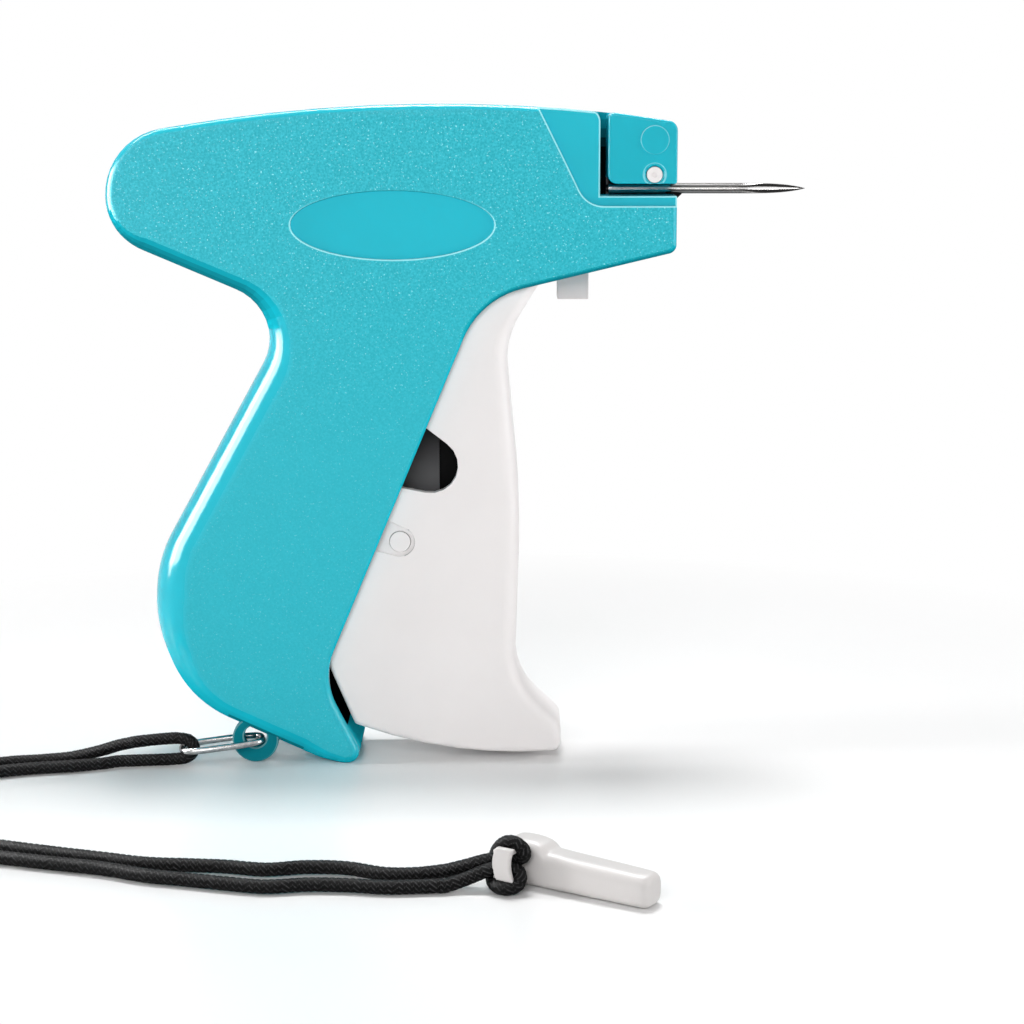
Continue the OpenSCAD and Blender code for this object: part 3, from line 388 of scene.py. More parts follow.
hitch_routes = {
    "clip_hitch": [
        (-75.9, -14.6, 1.5), (-74, -14.3, 1.5), (-70, -13.8, 1.5), (-66, -13.2, 1.5),
        (-62.4, -12.9, 1.9), (-60.8, -12.5, 3.8), (-61.8, -12.2, 5.6), (-64.4, -12, 6.1),
        (-67, -12, 6), (-70, -12.2, 5.8), (-74, -12.5, 5.4), (-75.9, -12.6, 5.05),
    ],
    "cap_hitch": [
        (-2.1, -94.3, 2.7), (-0.6, -94.6, 3), (3.5, -95.5, 4.4), (7.3, -96, 5.6), (10.1, -96.2, 6.2),
        (12.4, -96.7, 6.3), (14, -97.7, 6.8), (14.2, -98.3, 8.1), (13.2, -98.2, 9.3),
        (11.8, -97.7, 9.8), (10.5, -97.2, 9.4), (9.5, -96, 8.1), (8.8, -93.8, 6), (8.3, -94.4, 3.6),
        (8.2, -97, 1.9), (9.2, -99.6, 1.5), (11.2, -100.7, 1.5), (13, -100.3, 2.2), (13.4, -99.3, 3.9),
        (11.8, -98.2, 5), (9.3, -97.9, 4.8), (6.5, -97.8, 3.9), (3, -98.1, 2.5), (-0.6, -98.9, 1.5),
        (-2.1, -99.4, 1.5),
    ],
}


def smooth_route(points, steps):
    """A smooth line through the points, with the same blend that the construction model uses."""
    p = [mm(*q) for q in points]
    n = len(p) - 1
    line = []
    for i in range(n):
        a, b, c, d = p[max(i - 1, 0)], p[i], p[i + 1], p[min(i + 2, n)]
        square, cube = 2 * a - 5 * b + 4 * c - d, 3 * b - a - 3 * c + d
        for k in range(steps):
            s = k / steps
            line.append(0.5 * (2 * b + (c - a) * s + square * s**2 + cube * s**3))
    return line + [p[n]]


def line_length(line):
    """The length of a line of points."""
    return sum((b - a).length for a, b in zip(line, line[1:]))


# %% Braid the strands and the hitches
cord_d = 2.8 * MM
route_steps = 12
cord_pieces = {}
cord_lines = {}
for node, route in {**strand_routes, **hitch_routes}.items():
    cord_lines[node] = smooth_route(route, route_steps)
    cord_pieces[node] = run_tree(cord_tree, node + "_braid", poly_curve(node, cord_lines[node]), {
        "Diameter": cord_d, "Bundles": 8.0, "Lay length": 1.3 * MM, "Relief": 0.2 * MM,
        "Finish": cord_finish,
    })
    put(cord_pieces[node], node)
    print(node, round(line_length(cord_lines[node]) / MM, 1), "mm long")

# %% [markdown]
# ## Turquoise casing plastic
# The casing is moulded in bright turquoise plastic. Its flat sides come from an eroded mould, so
# they carry a fine grain, with small bright specks painted on as glints, while the rounded edges, the
# label recess and the nose are polished. The grain is laid on only where a point lies on the outermost
# side face: its distance from the middle plane, in Object coordinates, tells that. The rounded edges
# that face up get a painted highlight, and the inside of the shells, the slot, the gap behind the
# trigger, the lug and the undersides get painted shade: two attributes mark these.

# %% Colours and grain of the casing
POLISHED = (0.010, 0.505, 0.63)
NOSE = (0.004, 0.455, 0.57)
GRAIN_PALE = (0.030, 0.545, 0.65)
GRAIN_DEEP = (0.004, 0.405, 0.50)
PAINTED_GLINT = (0.30, 0.82, 0.88)
PAINTED_EDGE_HIGHLIGHT = (0.40, 0.92, 0.97)
SHADE = (0.0015, 0.004, 0.005)
GRAIN_FAINT_Z, GRAIN_FULL_Z = 70 * MM, 125 * MM


def mould_grain(tree, place, height):
    """The grain of the flat sides with its painted glints, clear on the head and faint low on the grip:
    colour and relief.
    """
    grain = noise(tree, place, 2100, 2.5, 0.62)
    clear = remap(tree, height, GRAIN_FAINT_Z, GRAIN_FULL_Z, 0.3, 1.0)
    swing = math_node(tree, "SUBTRACT", remap(tree, grain, 0.40, 0.66), 0.5)
    contrast = math_node(tree, "MULTIPLY_ADD", swing, clear, 0.5)
    colour = blend_colours(tree, contrast, GRAIN_DEEP, GRAIN_PALE)
    # Painted glints: bright specks that stand in for the sparkle of light on the grain.
    painted_glints = remap(tree, noise(tree, place, 2500, 1.0), 0.66, 0.77)
    return blend_colours(tree, math_node(tree, "MULTIPLY", painted_glints, clear), colour, PAINTED_GLINT), grain


# %% Finish of the casing
CASING_SIDE = 12.5 * MM
NO_GRAIN = 60 * MM


def turquoise_finish(name, side, roughness, polished, edges):
    """Moulded turquoise plastic with grain beyond a side distance from the middle plane, in metres."""
    specular = 0.3
    finish, tree, shader, place = new_finish(name, Specular_IOR_Level=specular)
    axes = add_node(tree, "ShaderNodeSeparateXYZ", {0: place})
    out = math_node(tree, "ABSOLUTE", axes.outputs["Y"])
    on_side = remap(tree, out, side - 0.28 * MM, side - 0.08 * MM)
    cloud = remap(tree, noise(tree, place, 38, 2.0), 0.3, 0.7)
    smooth = blend_colours(tree, cloud, [0.94 * c for c in polished], polished)
    rough, grain = mould_grain(tree, place, axes.outputs["Z"])
    body = blend_colours(tree, on_side, smooth, rough)
    # Painted highlight: the marked rounded edges are blended towards a pale colour, as strongly as edges
    # gives.
    body = blend_colours(tree, math_node(tree, "MULTIPLY", attribute(tree, "edge"), edges), body, PAINTED_EDGE_HIGHLIGHT)
    # Painted shade: faces with a stored shade value are blended to a near-black colour and lose their
    # gloss.
    hollow = attribute(tree, "hollow")
    gloss = remap(tree, on_side, 0.0, 1.0, roughness, 0.44)
    feed(
        tree, shader, Base_Color=blend_colours(tree, hollow, body, SHADE),
        Specular_IOR_Level=remap(tree, hollow, 0.0, 0.05, specular, 0.0),
        Roughness=math_node(tree, "MAXIMUM", gloss, math_node(tree, "MULTIPLY", hollow, 0.7)),
    )
    bump(tree, shader, math_node(tree, "MULTIPLY", grain, on_side), 0.12 * MM, 0.8)
    return finish


casing_finish = turquoise_finish("turquoise casing plastic", CASING_SIDE, 0.14, POLISHED, 0.8)
nose_finish = turquoise_finish("turquoise nose plastic", NO_GRAIN, 0.22, NOSE, 0.38)

# %% [markdown]
# ## White and black plastics
# The trigger, the button and the cap are warm white plastic with a satin skin: a very faint mottle
# in colour, a soft unevenness in gloss and an even finer bump. The lever and the slide are black.

# %% Finishes of the white and black pieces
# Painted shade: the dark colour that gaps and recess walls facing from the light are blended towards.
PAINTED_GAP_SHADE = (0.02, 0.02, 0.02)


def satin_finish(name, light, shade, roughness, specular=0.45):
    """Satin plastic between two near colours, with an uneven gloss; a stored value paints shade into gaps
    and recesses.
    """
    finish, tree, shader, place = new_finish(name, Specular_IOR_Level=specular)
    mottle = remap(tree, noise(tree, place, 55, 3.0, 0.55), 0.35, 0.65)
    body = blend_colours(tree, mottle, light, shade)
    texture = noise(tree, place, 1500, 2.0, 0.5)
    feed(
        tree, shader, Base_Color=blend_colours(tree, attribute(tree, "hollow"), body, PAINTED_GAP_SHADE),
        Roughness=remap(tree, texture, 0.3, 0.7, roughness - 0.05, roughness + 0.06),
    )
    bump(tree, shader, texture, 0.02 * MM, 0.35)
    return finish


white_finish = satin_finish("white satin plastic", (0.86, 0.825, 0.82), (0.84, 0.805, 0.80), 0.38)
button_finish = satin_finish("grey white plastic", (0.62, 0.565, 0.56), (0.59, 0.54, 0.535), 0.4)
cap_finish = satin_finish("white cap plastic", (0.62, 0.595, 0.585), (0.59, 0.565, 0.555), 0.36)
black_finish = satin_finish("black nylon", (0.0015, 0.0015, 0.0018), (0.003, 0.003, 0.0033), 0.46, 0.05)

# %% [markdown]
# ## Steel
# Bright steel is drawn or ground along one direction, so it carries fine lines. The noise is
# stretched along X with a Mapping node to draw them; the darker steel of the blade and the pawl is
# duller and more uneven. The plate on the lever is blued, and paler towards its lower end.

# %% Finishes of the steel pieces
GROUND_ALONG_X = (60, 4200, 4200)
EVEN = (900, 900, 900)
ROLLED = (700, 2500, 700)


def drawn_lines(tree, place, stretch):
    """Noise drawn out into fine lines; stretch gives its scale along each axis."""
    drawn = add_node(tree, "ShaderNodeMapping", {"Vector": place, "Scale": stretch}).outputs[0]
    return noise(tree, drawn, 1.0, 3.0, 0.6)


def steel_finish(name, light, shade, roughness, stretch):
    """Metal with fine lines between two greys."""
    finish, tree, shader, place = new_finish(name, Metallic=1.0, Specular_Tint=(0.4, 0.4, 0.4, 1))
    lines = drawn_lines(tree, place, stretch)
    feed(
        tree, shader, Base_Color=blend_colours(tree, remap(tree, lines, 0.3, 0.7), shade, light),
        Roughness=remap(tree, lines, 0.3, 0.7, roughness + 0.08, roughness - 0.05),
    )
    bump(tree, shader, lines, 0.01 * MM, 0.4)
    return finish


pin_finish = steel_finish("ground pin steel", (0.78, 0.77, 0.76), (0.52, 0.51, 0.50), 0.22, GROUND_ALONG_X)
wire_finish = steel_finish("polished wire", (0.50, 0.50, 0.50), (0.30, 0.30, 0.31), 0.16, EVEN)
dark_steel_finish = steel_finish("dark steel", (0.062, 0.06, 0.06), (0.03, 0.03, 0.032), 0.44, ROLLED)

# %% Finish of the lever's plate
BLUED_DARK, BLUED_PALE = (0.016, 0.016, 0.017), (0.105, 0.105, 0.108)
PLATE_LOW_Z, PLATE_HIGH_Z = 59.5 * MM, 75 * MM
plate_finish, tree, shader, place = new_finish(
    "blued steel", Metallic=1.0, Roughness=0.5, Specular_Tint=(0.3, 0.3, 0.3, 1),
)
height = add_node(tree, "ShaderNodeSeparateXYZ", {0: place}).outputs["Z"]
cloud = math_node(tree, "MULTIPLY", noise(tree, place, 260, 2.0), 0.12)
pale = math_node(tree, "ADD", remap(tree, height, PLATE_LOW_Z, PLATE_HIGH_Z, 1.0, 0.0), cloud)
feed(tree, shader, Base_Color=blend_colours(tree, pale, BLUED_DARK, BLUED_PALE))

# %% [markdown]
# ## Softer edges on the moulded solids
# A moulded part never has a knife edge: the light line along its edges is what makes it look real.
# A CAD solid arrives as loose triangles, so a copy is first merged and its flat faces are joined
# again. Then every outward edge sharper than a limit is bevelled. A Bevel modifier would round the
# inward edges too, so bmesh does it here, on chosen edges.

# %% Merge, round and smooth a form
SHARP, FOLDED = math.radians(33), math.radians(150)


def merged_form(mesh, merge):
    """A bmesh of a CAD solid: its triangles merged, its flat faces joined, points within merge made one."""
    form = bmesh.new()
    form.from_mesh(mesh)
    bmesh.ops.remove_doubles(form, verts=form.verts, dist=0.003 * MM)
    bmesh.ops.dissolve_limit(form, angle_limit=math.radians(0.8), verts=form.verts, edges=form.edges)
    if merge:
        bmesh.ops.remove_doubles(form, verts=form.verts, dist=merge * MM)
        bmesh.ops.dissolve_degenerate(form, dist=merge * MM, edges=form.edges)
    form.normal_update()
    return form


def bevel(form, edges, width, steps):
    """Round edges of a bmesh to a width in millimetres and return the new faces."""
    if not edges:
        return []
    return bmesh.ops.bevel(
        form, geom=edges, offset=width * MM, offset_type="OFFSET", segments=steps, profile=0.6,
        affect="EDGES", clamp_overlap=False,
    )["faces"]


def is_outward(e):
    """True for an outward edge whose two faces turn sharply, but don't fold back."""
    if len(e.link_faces) != 2:
        return False
    return SHARP < e.calc_face_angle(0) < FOLDED and e.calc_face_angle_signed(0) > 0


def smooth_faces(form, limit):
    """Shade a form smooth, but not over edges that turn by more than a limit in degrees."""
    for face in form.faces:
        face.smooth = True
    for e in form.edges:
        e.smooth = not (len(e.link_faces) == 2 and e.calc_face_angle(0) > math.radians(limit))


# %% [markdown]
# ## Where little light reaches
# The bottom of the slot in the nose, the gap behind the trigger, the lug and the room inside the shells
# get painted shade, and the undersides of the roundings are painted dimmer than their tops. Each face
# gets a value for that, and the finish blends towards a shade colour by it. Two long faces run from the
# light into the dark, so they are cut at some heights first, and each strip gets its own value.

# %% Places on the shells, in millimetres
HEAD_LOW = 85
LUG_X, LUG_Z = -47, 5.3
SLOT_Y = 2.5
SLOT_CUTS = (139.5, 141.5, 143.5, 145.5)
SLOT_LIT_Z, SLOT_FADE = 147.5, 8
RIM_CUT = 10.0
ROOM_Y = 10.3


def slot_bottom(face):
    """True for the face at the bottom of the slot in the nose."""
    p = face.calc_center_median() / MM
    return face.normal.y < -0.9 and abs(p.y - SLOT_Y) < 0.2 and p.x > 25 and p.z > 120


def grip_rim(face):
    """True for the rim of the grip that faces the trigger."""
    p = face.calc_center_median() / MM
    return p.x > -34 and p.z < 30 and abs(p.y) < ROOM_Y and face.normal.x > 0.5


def from_lug(p):
    """The distance of a point from the middle of the lug for the lanyard."""
    return math.hypot(p.x - LUG_X, p.z - LUG_Z)


# %% How dark the faces of a shell lie


def in_shade(face):
    """How much shade is painted on a face outside the room: slot, gap behind the trigger, lug, undersides.
    """
    p = face.calc_center_median() / MM
    if slot_bottom(face):
        return min(1.0, max(0.15, (SLOT_LIT_Z - p.z) / SLOT_FADE))
    if grip_rim(face):
        return 1.0 if p.z > RIM_CUT else 0.06
    if from_lug(p) < 5.6 and abs(p.y) < 10.4:
        return 0.6
    on_round = 0.1 < abs(face.normal.y) < 0.98
    under = clamp((-face.normal.z - 0.15) / 0.5)
    return under * (0.6 if p.z > HEAD_LOW else 0.15) if on_round else 0.0


def split(form, faces, height):
    """Cut faces at a height in millimetres."""
    parts = set(faces) | {e for f in faces for e in f.edges} | {v for f in faces for v in f.verts}
    bmesh.ops.bisect_plane(
        form, geom=list(parts), dist=0.001 * MM, plane_co=mm(0, 0, height), plane_no=(0, 0, 1),
    )


def mark_hollow(form, side):
    """Paint shade on the faces of a shell's room, from its floor on, as far as no outward edge is crossed.
    """
    layer = form.faces.layers.float["hollow"]
    split(form, [f for f in form.faces if grip_rim(f)], RIM_CUT)
    for height in SLOT_CUTS:
        split(form, [f for f in form.faces if slot_bottom(f)], height)
    form.normal_update()
    floor_y = ROOM_Y * MM * side
    found = [
        f for f in form.faces
        if f.normal.y * side < -0.99 and abs(f.calc_center_median().y - floor_y) < 0.1 * MM
    ]
    room = set(found)
    while found:
        for e in found.pop().edges:
            if not is_outward(e):
                fresh = [f for f in e.link_faces if f not in room]
                room.update(fresh)
                found += fresh
    for f in form.faces:
        shown = slot_bottom(f) or grip_rim(f)
        f[layer] = 1.0 if f in room and not shown else in_shade(f)
    print("room of the shell:", len(room), "faces")


# %% [markdown]
# ## Dress a solid
# One helper does all of this for a solid: merge, mark the faces that get painted shade, round the edges
# that show, and shade the result smooth. The flat faces keep their own shading, because the normals are
# weighted by face area. The new faces of the roundings are marked too: a painted highlight makes them
# paler than the flats, and under a shell's head those that face down get painted shade.

# %% Helper that dresses a solid


def round_edges(form, width, inner, keep, also, side):
    """Bevel the outward edges that show and mark their new faces: a painted highlight unless they face
    down, and painted shade where they face down under a shell's head.
    """
    hollow, pale = form.faces.layers.float["hollow"], form.faces.layers.float["edge"]
    sharp = [e for e in form.edges if is_outward(e)]
    ends = {e: [v.co / MM for v in e.verts] for e in sharp}
    shown = [
        e for e in sharp
        if max(abs(p.y) for p in ends[e]) >= inner or (also and all(also(p) for p in ends[e]))
    ]
    chosen = [e for e in shown if not (keep and any(keep(p) for p in ends[e]))]
    rounded = bevel(form, chosen, width, 2)
    form.normal_update()
    for face in rounded:
        face[pale] = clamp((face.normal.z + 0.3) / 0.2)
        if side and face.calc_center_median().z > HEAD_LOW * MM:
            face[hollow] = 0.5 * clamp((-face.normal.z - 0.25) / 0.2)


def dress(node, finish, edge, slot, inner=0.0, merge=0.0, keep=None, also=None, side=0, shade=None):
    """Replace a CAD solid by a merged copy with bevelled edges; widths are in millimetres.

    Only outward edges are rounded. Those nearer to the middle plane than inner are out of sight and
    stay as they are, unless also picks them, and so do those that keep picks. Points closer than merge
    become one, so that no edge is shorter than its bevel. A shell gives its side, to mark its room, and
    shade tells how dark a face of another piece lies.
    """
    mesh = frame["nodes"][node].data.copy()
    form = merged_form(mesh, merge)
    for layer in ("hollow", "edge"):
        form.faces.layers.float.new(layer)
    if side:
        mark_hollow(form, side)
    round_edges(form, edge, inner, keep, also, side)
    if shade:
        hollow = form.faces.layers.float["hollow"]
        for face in form.faces:
            face[hollow] = shade(face)
    smooth_faces(form, 40)
    print(node, "dressed:", len(form.faces), "faces")
    form.to_mesh(mesh)
    form.free()
    mesh.materials.clear()
    mesh.materials.append(finish)
    piece = bpy.data.objects.new(node + "_dressed", mesh)
    scene.collection.objects.link(piece)
    weighted = piece.modifiers.new("weighted normals", "WEIGHTED_NORMAL")
    weighted.keep_sharp = True
    weighted.weight = 90
    return put(piece, node)


# %% Places that need care
LOW_SCREW_X, LOW_SCREW_Z = -57, 20
pin_low, pin_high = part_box("trigger_link_pin")
pin_at = (pin_low + pin_high) / 2 / MM


def on_low_screw(p):
    """True round the lowest screw, whose sink runs out into the rounded edge of the grip."""
    return p.y > 10 and math.hypot(p.x - LOW_SCREW_X, p.z - LOW_SCREW_Z) < 3.6


def on_lug(p):
    """True on the lug for the lanyard."""
    return from_lug(p) < 5.5


def in_pin_recess(face):
    """How dark a face of the trigger lies: walls of the link pin's recess that face from the light."""
    p, n = face.calc_center_median() / MM, face.normal
    near = math.hypot(p.x - pin_at.x, p.z - pin_at.z) < 5.4 and abs(p.y) > 7
    return 0.7 if near and abs(n.y) < 0.93 and (n.x < -0.25 or n.z < -0.35) else 0.0


# %% Dress the moulded pieces
shell_edges = {"inner": 10.4, "merge": 0.15}
dress("right_shell", casing_finish, 0.36, "casing_plastic", also=on_lug, side=-1, **shell_edges)
dress("left_shell", casing_finish, 0.36, "casing_plastic", keep=on_low_screw, side=1, **shell_edges)
dress("nose_block", nose_finish, 0.22, "nose_plastic")
dress("trigger", white_finish, 0.25, "white_plastic", inner=8.5, shade=in_pin_recess)
dress("trigger_link_pin", white_finish, 0.2, "white_plastic")
dress("release_button", button_finish, 0.3, "white_plastic")
dress("needle_lock", white_finish, 0.2, "white_plastic")
dress("drive_lever", black_finish, 0.2, "dark_plastic")
dress("lever_plate", plate_finish, 0.1, "dark_steel")
dress("plunger_slide", black_finish, 0.2, "dark_plastic")
dress("feed_wheel", black_finish, 0.06, "dark_plastic")
dress("feed_pawl", dark_steel_finish, 0.08, "dark_steel")
dress("needle_base", black_finish, 0.15, "dark_plastic")
dress("cutter_blade", dark_steel_finish, 0.08, "dark_steel")
for node in ("push_rod", "slide_pin", "lever_pivot_pin", "trigger_pivot_pin", "feed_wheel_axle"):
    dress(node, pin_finish, 0.15, "bright_steel")

# %% [markdown]
# ## Skins between rings
# The needle, the wire clip and the cap are not moulded boxes but forms that follow an axis. Each is
# a stack of rings with the same number of points, and a skin of quads joins ring to ring. That gives
# full control over the section at each place, and clean, evenly spread faces that shade well.

# %% Helper that skins rings


def skin(name, rings, finish, closed=False):
    """A smooth mesh object through rings of points in millimetres; closed joins the last to the first."""
    n, m = len(rings[0]), len(rings)
    faces = []
    for j in range(m if closed else m - 1):
        for i in range(n):
            k, above = (i + 1) % n, (j + 1) % m
            faces.append((j * n + i, j * n + k, above * n + k, above * n + i))
    if not closed:
        faces += [tuple(range(n)), tuple((m - 1) * n + i for i in range(n))]
    mesh = bpy.data.meshes.new(name)
    mesh.from_pydata([mm(*p) for ring in rings for p in ring], [], faces)
    form = bmesh.new()
    form.from_mesh(mesh)
    bmesh.ops.remove_doubles(form, verts=form.verts, dist=0.001 * MM)
    bmesh.ops.recalc_face_normals(form, faces=form.faces)
    smooth_faces(form, 40)
    form.to_mesh(mesh)
    form.free()
    mesh.materials.append(finish)
    piece = bpy.data.objects.new(name, mesh)
    scene.collection.objects.link(piece)
    print(name, "has", len(mesh.polygons), "faces")
    return piece


def turns(count):
    """Angles of evenly spread points round a full turn."""
    return [2 * math.pi * i / count for i in range(count)]


# %% [markdown]
# ## The needle
# The needle is a hollow steel tube with a slot along its near side. It ends in a spear: the tube is
# ground to a leaf, and the slot opens into a long hollow. A cut through a plain tube would not give
# that leaf, so each ring is the wall of the open tube at one place along the axis. A value stored on
# each point paints reflections and shade on the steel: dark flanks, dark lines at the lips of the
# slot and a bright bottom of the bore.

# %% Finish of the needle
PAINTED_DARK_FLANK, POLISHED_STEEL = (0.012, 0.011, 0.011), (0.92, 0.905, 0.895)
needle_finish, tree, shader, place = new_finish(
    "ground needle steel", Specular_IOR_Level=0.0, Specular_Tint=(0.12, 0.115, 0.11, 1),
)
# The stored value, named ground, holds painted reflection and shade, not a mark of the grinding.
ground = attribute(tree, "ground")
lines = drawn_lines(tree, place, GROUND_ALONG_X)
painted_light = math_node(tree, "MULTIPLY", ground, remap(tree, lines, 0.3, 0.7, 0.86, 1.0))
feed(
    tree, shader, Base_Color=blend_colours(tree, painted_light, PAINTED_DARK_FLANK, POLISHED_STEEL),
    Roughness=remap(tree, lines, 0.3, 0.7, 0.32, 0.2), Metallic=remap(tree, ground, 0.04, 0.35),
)

# %% One ring of the needle, in millimetres
needle_z = 130.3
needle_start, nose_end, needle_tip = 33.55, 46.6, 77.6
spear = 14.5
outer_r, bore_r = 1.15, 0.8
wall_steps = 72


def needle_ring(x):
    """The open wall of the needle at x, out along the outside and back in the bore, with the painted shine
    of each point.
    """
    t = max(0.0, (x - needle_tip + spear) / spear)
    leaf = max(0.03, (1 - t**3.2) ** 0.9)
    opened = min(1.0, t / 0.45)
    free = clamp(x - nose_end)
    inside = 1 - free
    half_slot = math.radians(3 + 23 * free + 49 * opened * opened * (3 - 2 * opened))
    deep = 1 - 0.55 * t**1.6
    thin = bore_r + (outer_r - bore_r) * 0.55 * opened
    angles = [half_slot + 2 * (math.pi - half_slot) * k / wall_steps for k in range(wall_steps + 1)]
    lips = (0, wall_steps)
    ring, painted_shine = [], []
    for k, a in enumerate(angles):
        ring.append((x, -outer_r * math.cos(a) * deep, needle_z + outer_r * math.sin(a) * leaf))
        flank = clamp((abs(math.sin(a)) - 0.45) / 0.55)
        tube = 0.26 + 0.69 * inside - (0.14 + 0.78 * inside) * flank
        bright = max(0.12 * free, tube * (1 - opened) + 0.9 * opened)
        painted_shine.append(0.12 if free > 0.5 and k in lips else bright)
    rib = 0.42 * (1 - t) ** 0.6 if t > 0 else 2.0
    for k, a in reversed(list(enumerate(angles))):
        up = thin * math.sin(a) * leaf
        ring.append((x, -thin * math.cos(a) * deep, needle_z + up))
        painted_shine.append(0.04 if abs(up) > rib or k in lips else 0.97)
    return ring, painted_shine


# %% Make the needle
spear_steps = 48
stations = [needle_start, 40.0, nose_end, nose_end + 1, 52.0, 57.0, 62.0]
stations += [needle_tip - spear + spear * (k / spear_steps) for k in range(spear_steps + 1)]
needle_rings = [needle_ring(x) for x in stations]
needle = skin("needle_ground", [ring for ring, painted_shine in needle_rings], needle_finish)
layer = needle.data.attributes.new("ground", "FLOAT", "POINT")
layer.data.foreach_set("value", [value for ring, painted_shine in needle_rings for value in painted_shine])
put(needle, "needle")

# %% [markdown]
# ## The wire clip
# A loop of polished steel wire joins the cord to the lug. It is a blunt oval, so its ring of rings
# closes on itself. Polished wire shows its surroundings, so it needs many even faces.

# %% Make the wire clip
clip_right, clip_left = Vector((-45.6, -9, 5.3)), Vector((-63.4, -12.7, 3.8))
clip_half, clip_r = 3.7, 0.75
clip_steps, wire_sides = 144, 16


def blunt(v):
    """A sine or cosine whose curve is blunter, which squares an oval."""
    return math.copysign(abs(v) ** 0.6, v)


middle, half_run = (clip_right + clip_left) / 2, (clip_right - clip_left) / 2
upright = Vector((0, 0, 1))
across = upright.cross(half_run).normalized()
loop = [
    middle + blunt(math.cos(a)) * half_run + blunt(math.sin(a)) * clip_half * across
    for a in turns(clip_steps)
]
clip_rings = []
for k, p in enumerate(loop):
    ahead = (loop[(k + 1) % clip_steps] - loop[k - 1]).normalized()
    side = ahead.cross(upright).normalized()
    up = side.cross(ahead)
    clip_rings.append([
        tuple(p + clip_r * (math.cos(b) * side + math.sin(b) * up)) for b in turns(wire_sides)
    ])
put(skin("wire_clip_polished", clip_rings, wire_finish, closed=True), "wire_clip")

# %% [markdown]
# ## The springs
# A compression spring has open coils in the middle and tight coils at both ends, where it bears on
# its seats. A tree takes a straight line of points and winds it: the angle grows evenly, while the
# height follows a sine that slows down at the ends. The same tree makes both springs.

# %% Tree of the springs
COIL_POINTS, WIRE_POINTS, END_SLOWING = 360, 12, 0.7
spring_tree, given, result = new_tree("wound spring", [
    ("Geometry", "NodeSocketGeometry"), ("Radius", "NodeSocketFloat"), ("Length", "NodeSocketFloat"),
    ("Coils", "NodeSocketFloat"), ("Wire", "NodeSocketFloat"), ("Start", "NodeSocketVector"),
    ("Turn", "NodeSocketRotation"), ("Finish", "NodeSocketMaterial"),
])
t = spring_tree
points = add_node(t, "GeometryNodeResampleCurve", {
    "Curve": given.outputs["Geometry"], "Count": COIL_POINTS,
}, mode="COUNT")
share = t.nodes.new("GeometryNodeSplineParameter").outputs["Factor"]
angle = math_node(t, "MULTIPLY", math_node(t, "MULTIPLY", share, given.outputs["Coils"]), 2 * math.pi)
wave = math_node(t, "SINE", math_node(t, "MULTIPLY", share, 2 * math.pi))
rise = math_node(t, "MULTIPLY_ADD", wave, -END_SLOWING / (2 * math.pi), share)
wound = add_node(t, "ShaderNodeCombineXYZ", {
    "X": math_node(t, "MULTIPLY", math_node(t, "COSINE", angle), given.outputs["Radius"]),
    "Y": math_node(t, "MULTIPLY", math_node(t, "SINE", angle), given.outputs["Radius"]),
    "Z": math_node(t, "MULTIPLY", rise, given.outputs["Length"]),
})
coil = add_node(t, "GeometryNodeSetPosition", {
    "Geometry": points.outputs[0], "Position": wound.outputs[0],
})
wire = add_node(t, "GeometryNodeCurvePrimitiveCircle", {
    "Resolution": WIRE_POINTS, "Radius": math_node(t, "MULTIPLY", given.outputs["Wire"], 0.5),
}, mode="RADIUS")
swept = add_node(t, "GeometryNodeCurveToMesh", {
    "Curve": coil.outputs[0], "Profile Curve": wire.outputs[0], "Fill Caps": True,
})
moved = add_node(t, "GeometryNodeTransform", {
    "Geometry": swept.outputs[0], "Translation": given.outputs["Start"],
    "Rotation": given.outputs["Turn"],
})
end_tree(t, moved.outputs[0], given, result)
print("the springs' tree has", len(t.nodes), "nodes")

# %% Wind the springs
wire_line = [mm(0, 0, 0), mm(0, 0, 1)]
spring_axis = Vector((-0.8746, 0, 0.4848))
spring_start = mm(-27.95, 0, 38.5)
return_spring = run_tree(spring_tree, "return_spring_wound", poly_curve("wire", wire_line), {
    "Radius": 3.05 * MM, "Length": 32.1 * MM, "Coils": 9.0, "Wire": 0.9 * MM, "Finish": wire_finish,
    "Start": spring_start, "Turn": spring_axis.to_track_quat("Z", "Y").to_euler(),
})
put(return_spring, "return_spring")
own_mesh(return_spring)

small_wire = 0.4 * MM
low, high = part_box("release_spring")
spring_x, spring_y = (low.x + high.x) / 2, (low.y + high.y) / 2
release_spring = run_tree(spring_tree, "release_spring_wound", poly_curve("wire", wire_line), {
    "Radius": 0.8 * MM, "Length": high.z - low.z - small_wire, "Coils": 3.0, "Wire": small_wire,
    "Finish": wire_finish, "Start": Vector((spring_x, spring_y, low.z + small_wire / 2)),
    "Turn": (0, 0, 0),
})
put(release_spring, "release_spring")
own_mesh(release_spring)

# %% [markdown]
# ## The case screws
# Five pan-head screws with a cross recess join the two shells from the far side. One screw is
# modelled by turning a profile round its axis and cutting the recess; a tree then sets a copy at
# each of five points, each turned by a random angle, since no two screws stop alike.

# %% Turn one screw, in millimetres
screw_sides = 28
thread_start, thread_pitch, thread_count = -15.0, 0.8, 14
core_r, crest_r = 0.95, 1.2
# Distance along Y and radius of each ring
tip = [(-16.0, 0.35), (-15.2, 1.0)]
threads = []
for k in range(thread_count):
    y = thread_start + k * thread_pitch
    threads += [(y, core_r), (y + 0.4, crest_r), (y + 0.5, crest_r)]
head = [
    (0.0, 1.15), (0.0, 2.3), (0.2, 2.5), (0.9, 2.48), (1.5, 2.2), (1.95, 1.6), (2.15, 0.8), (2.18, 0.1),
]
screw_rings = [
    [(r * math.cos(a), y, r * math.sin(a)) for a in turns(screw_sides)] for y, r in tip + threads + head
]
screw = skin("screw", screw_rings, wire_finish)

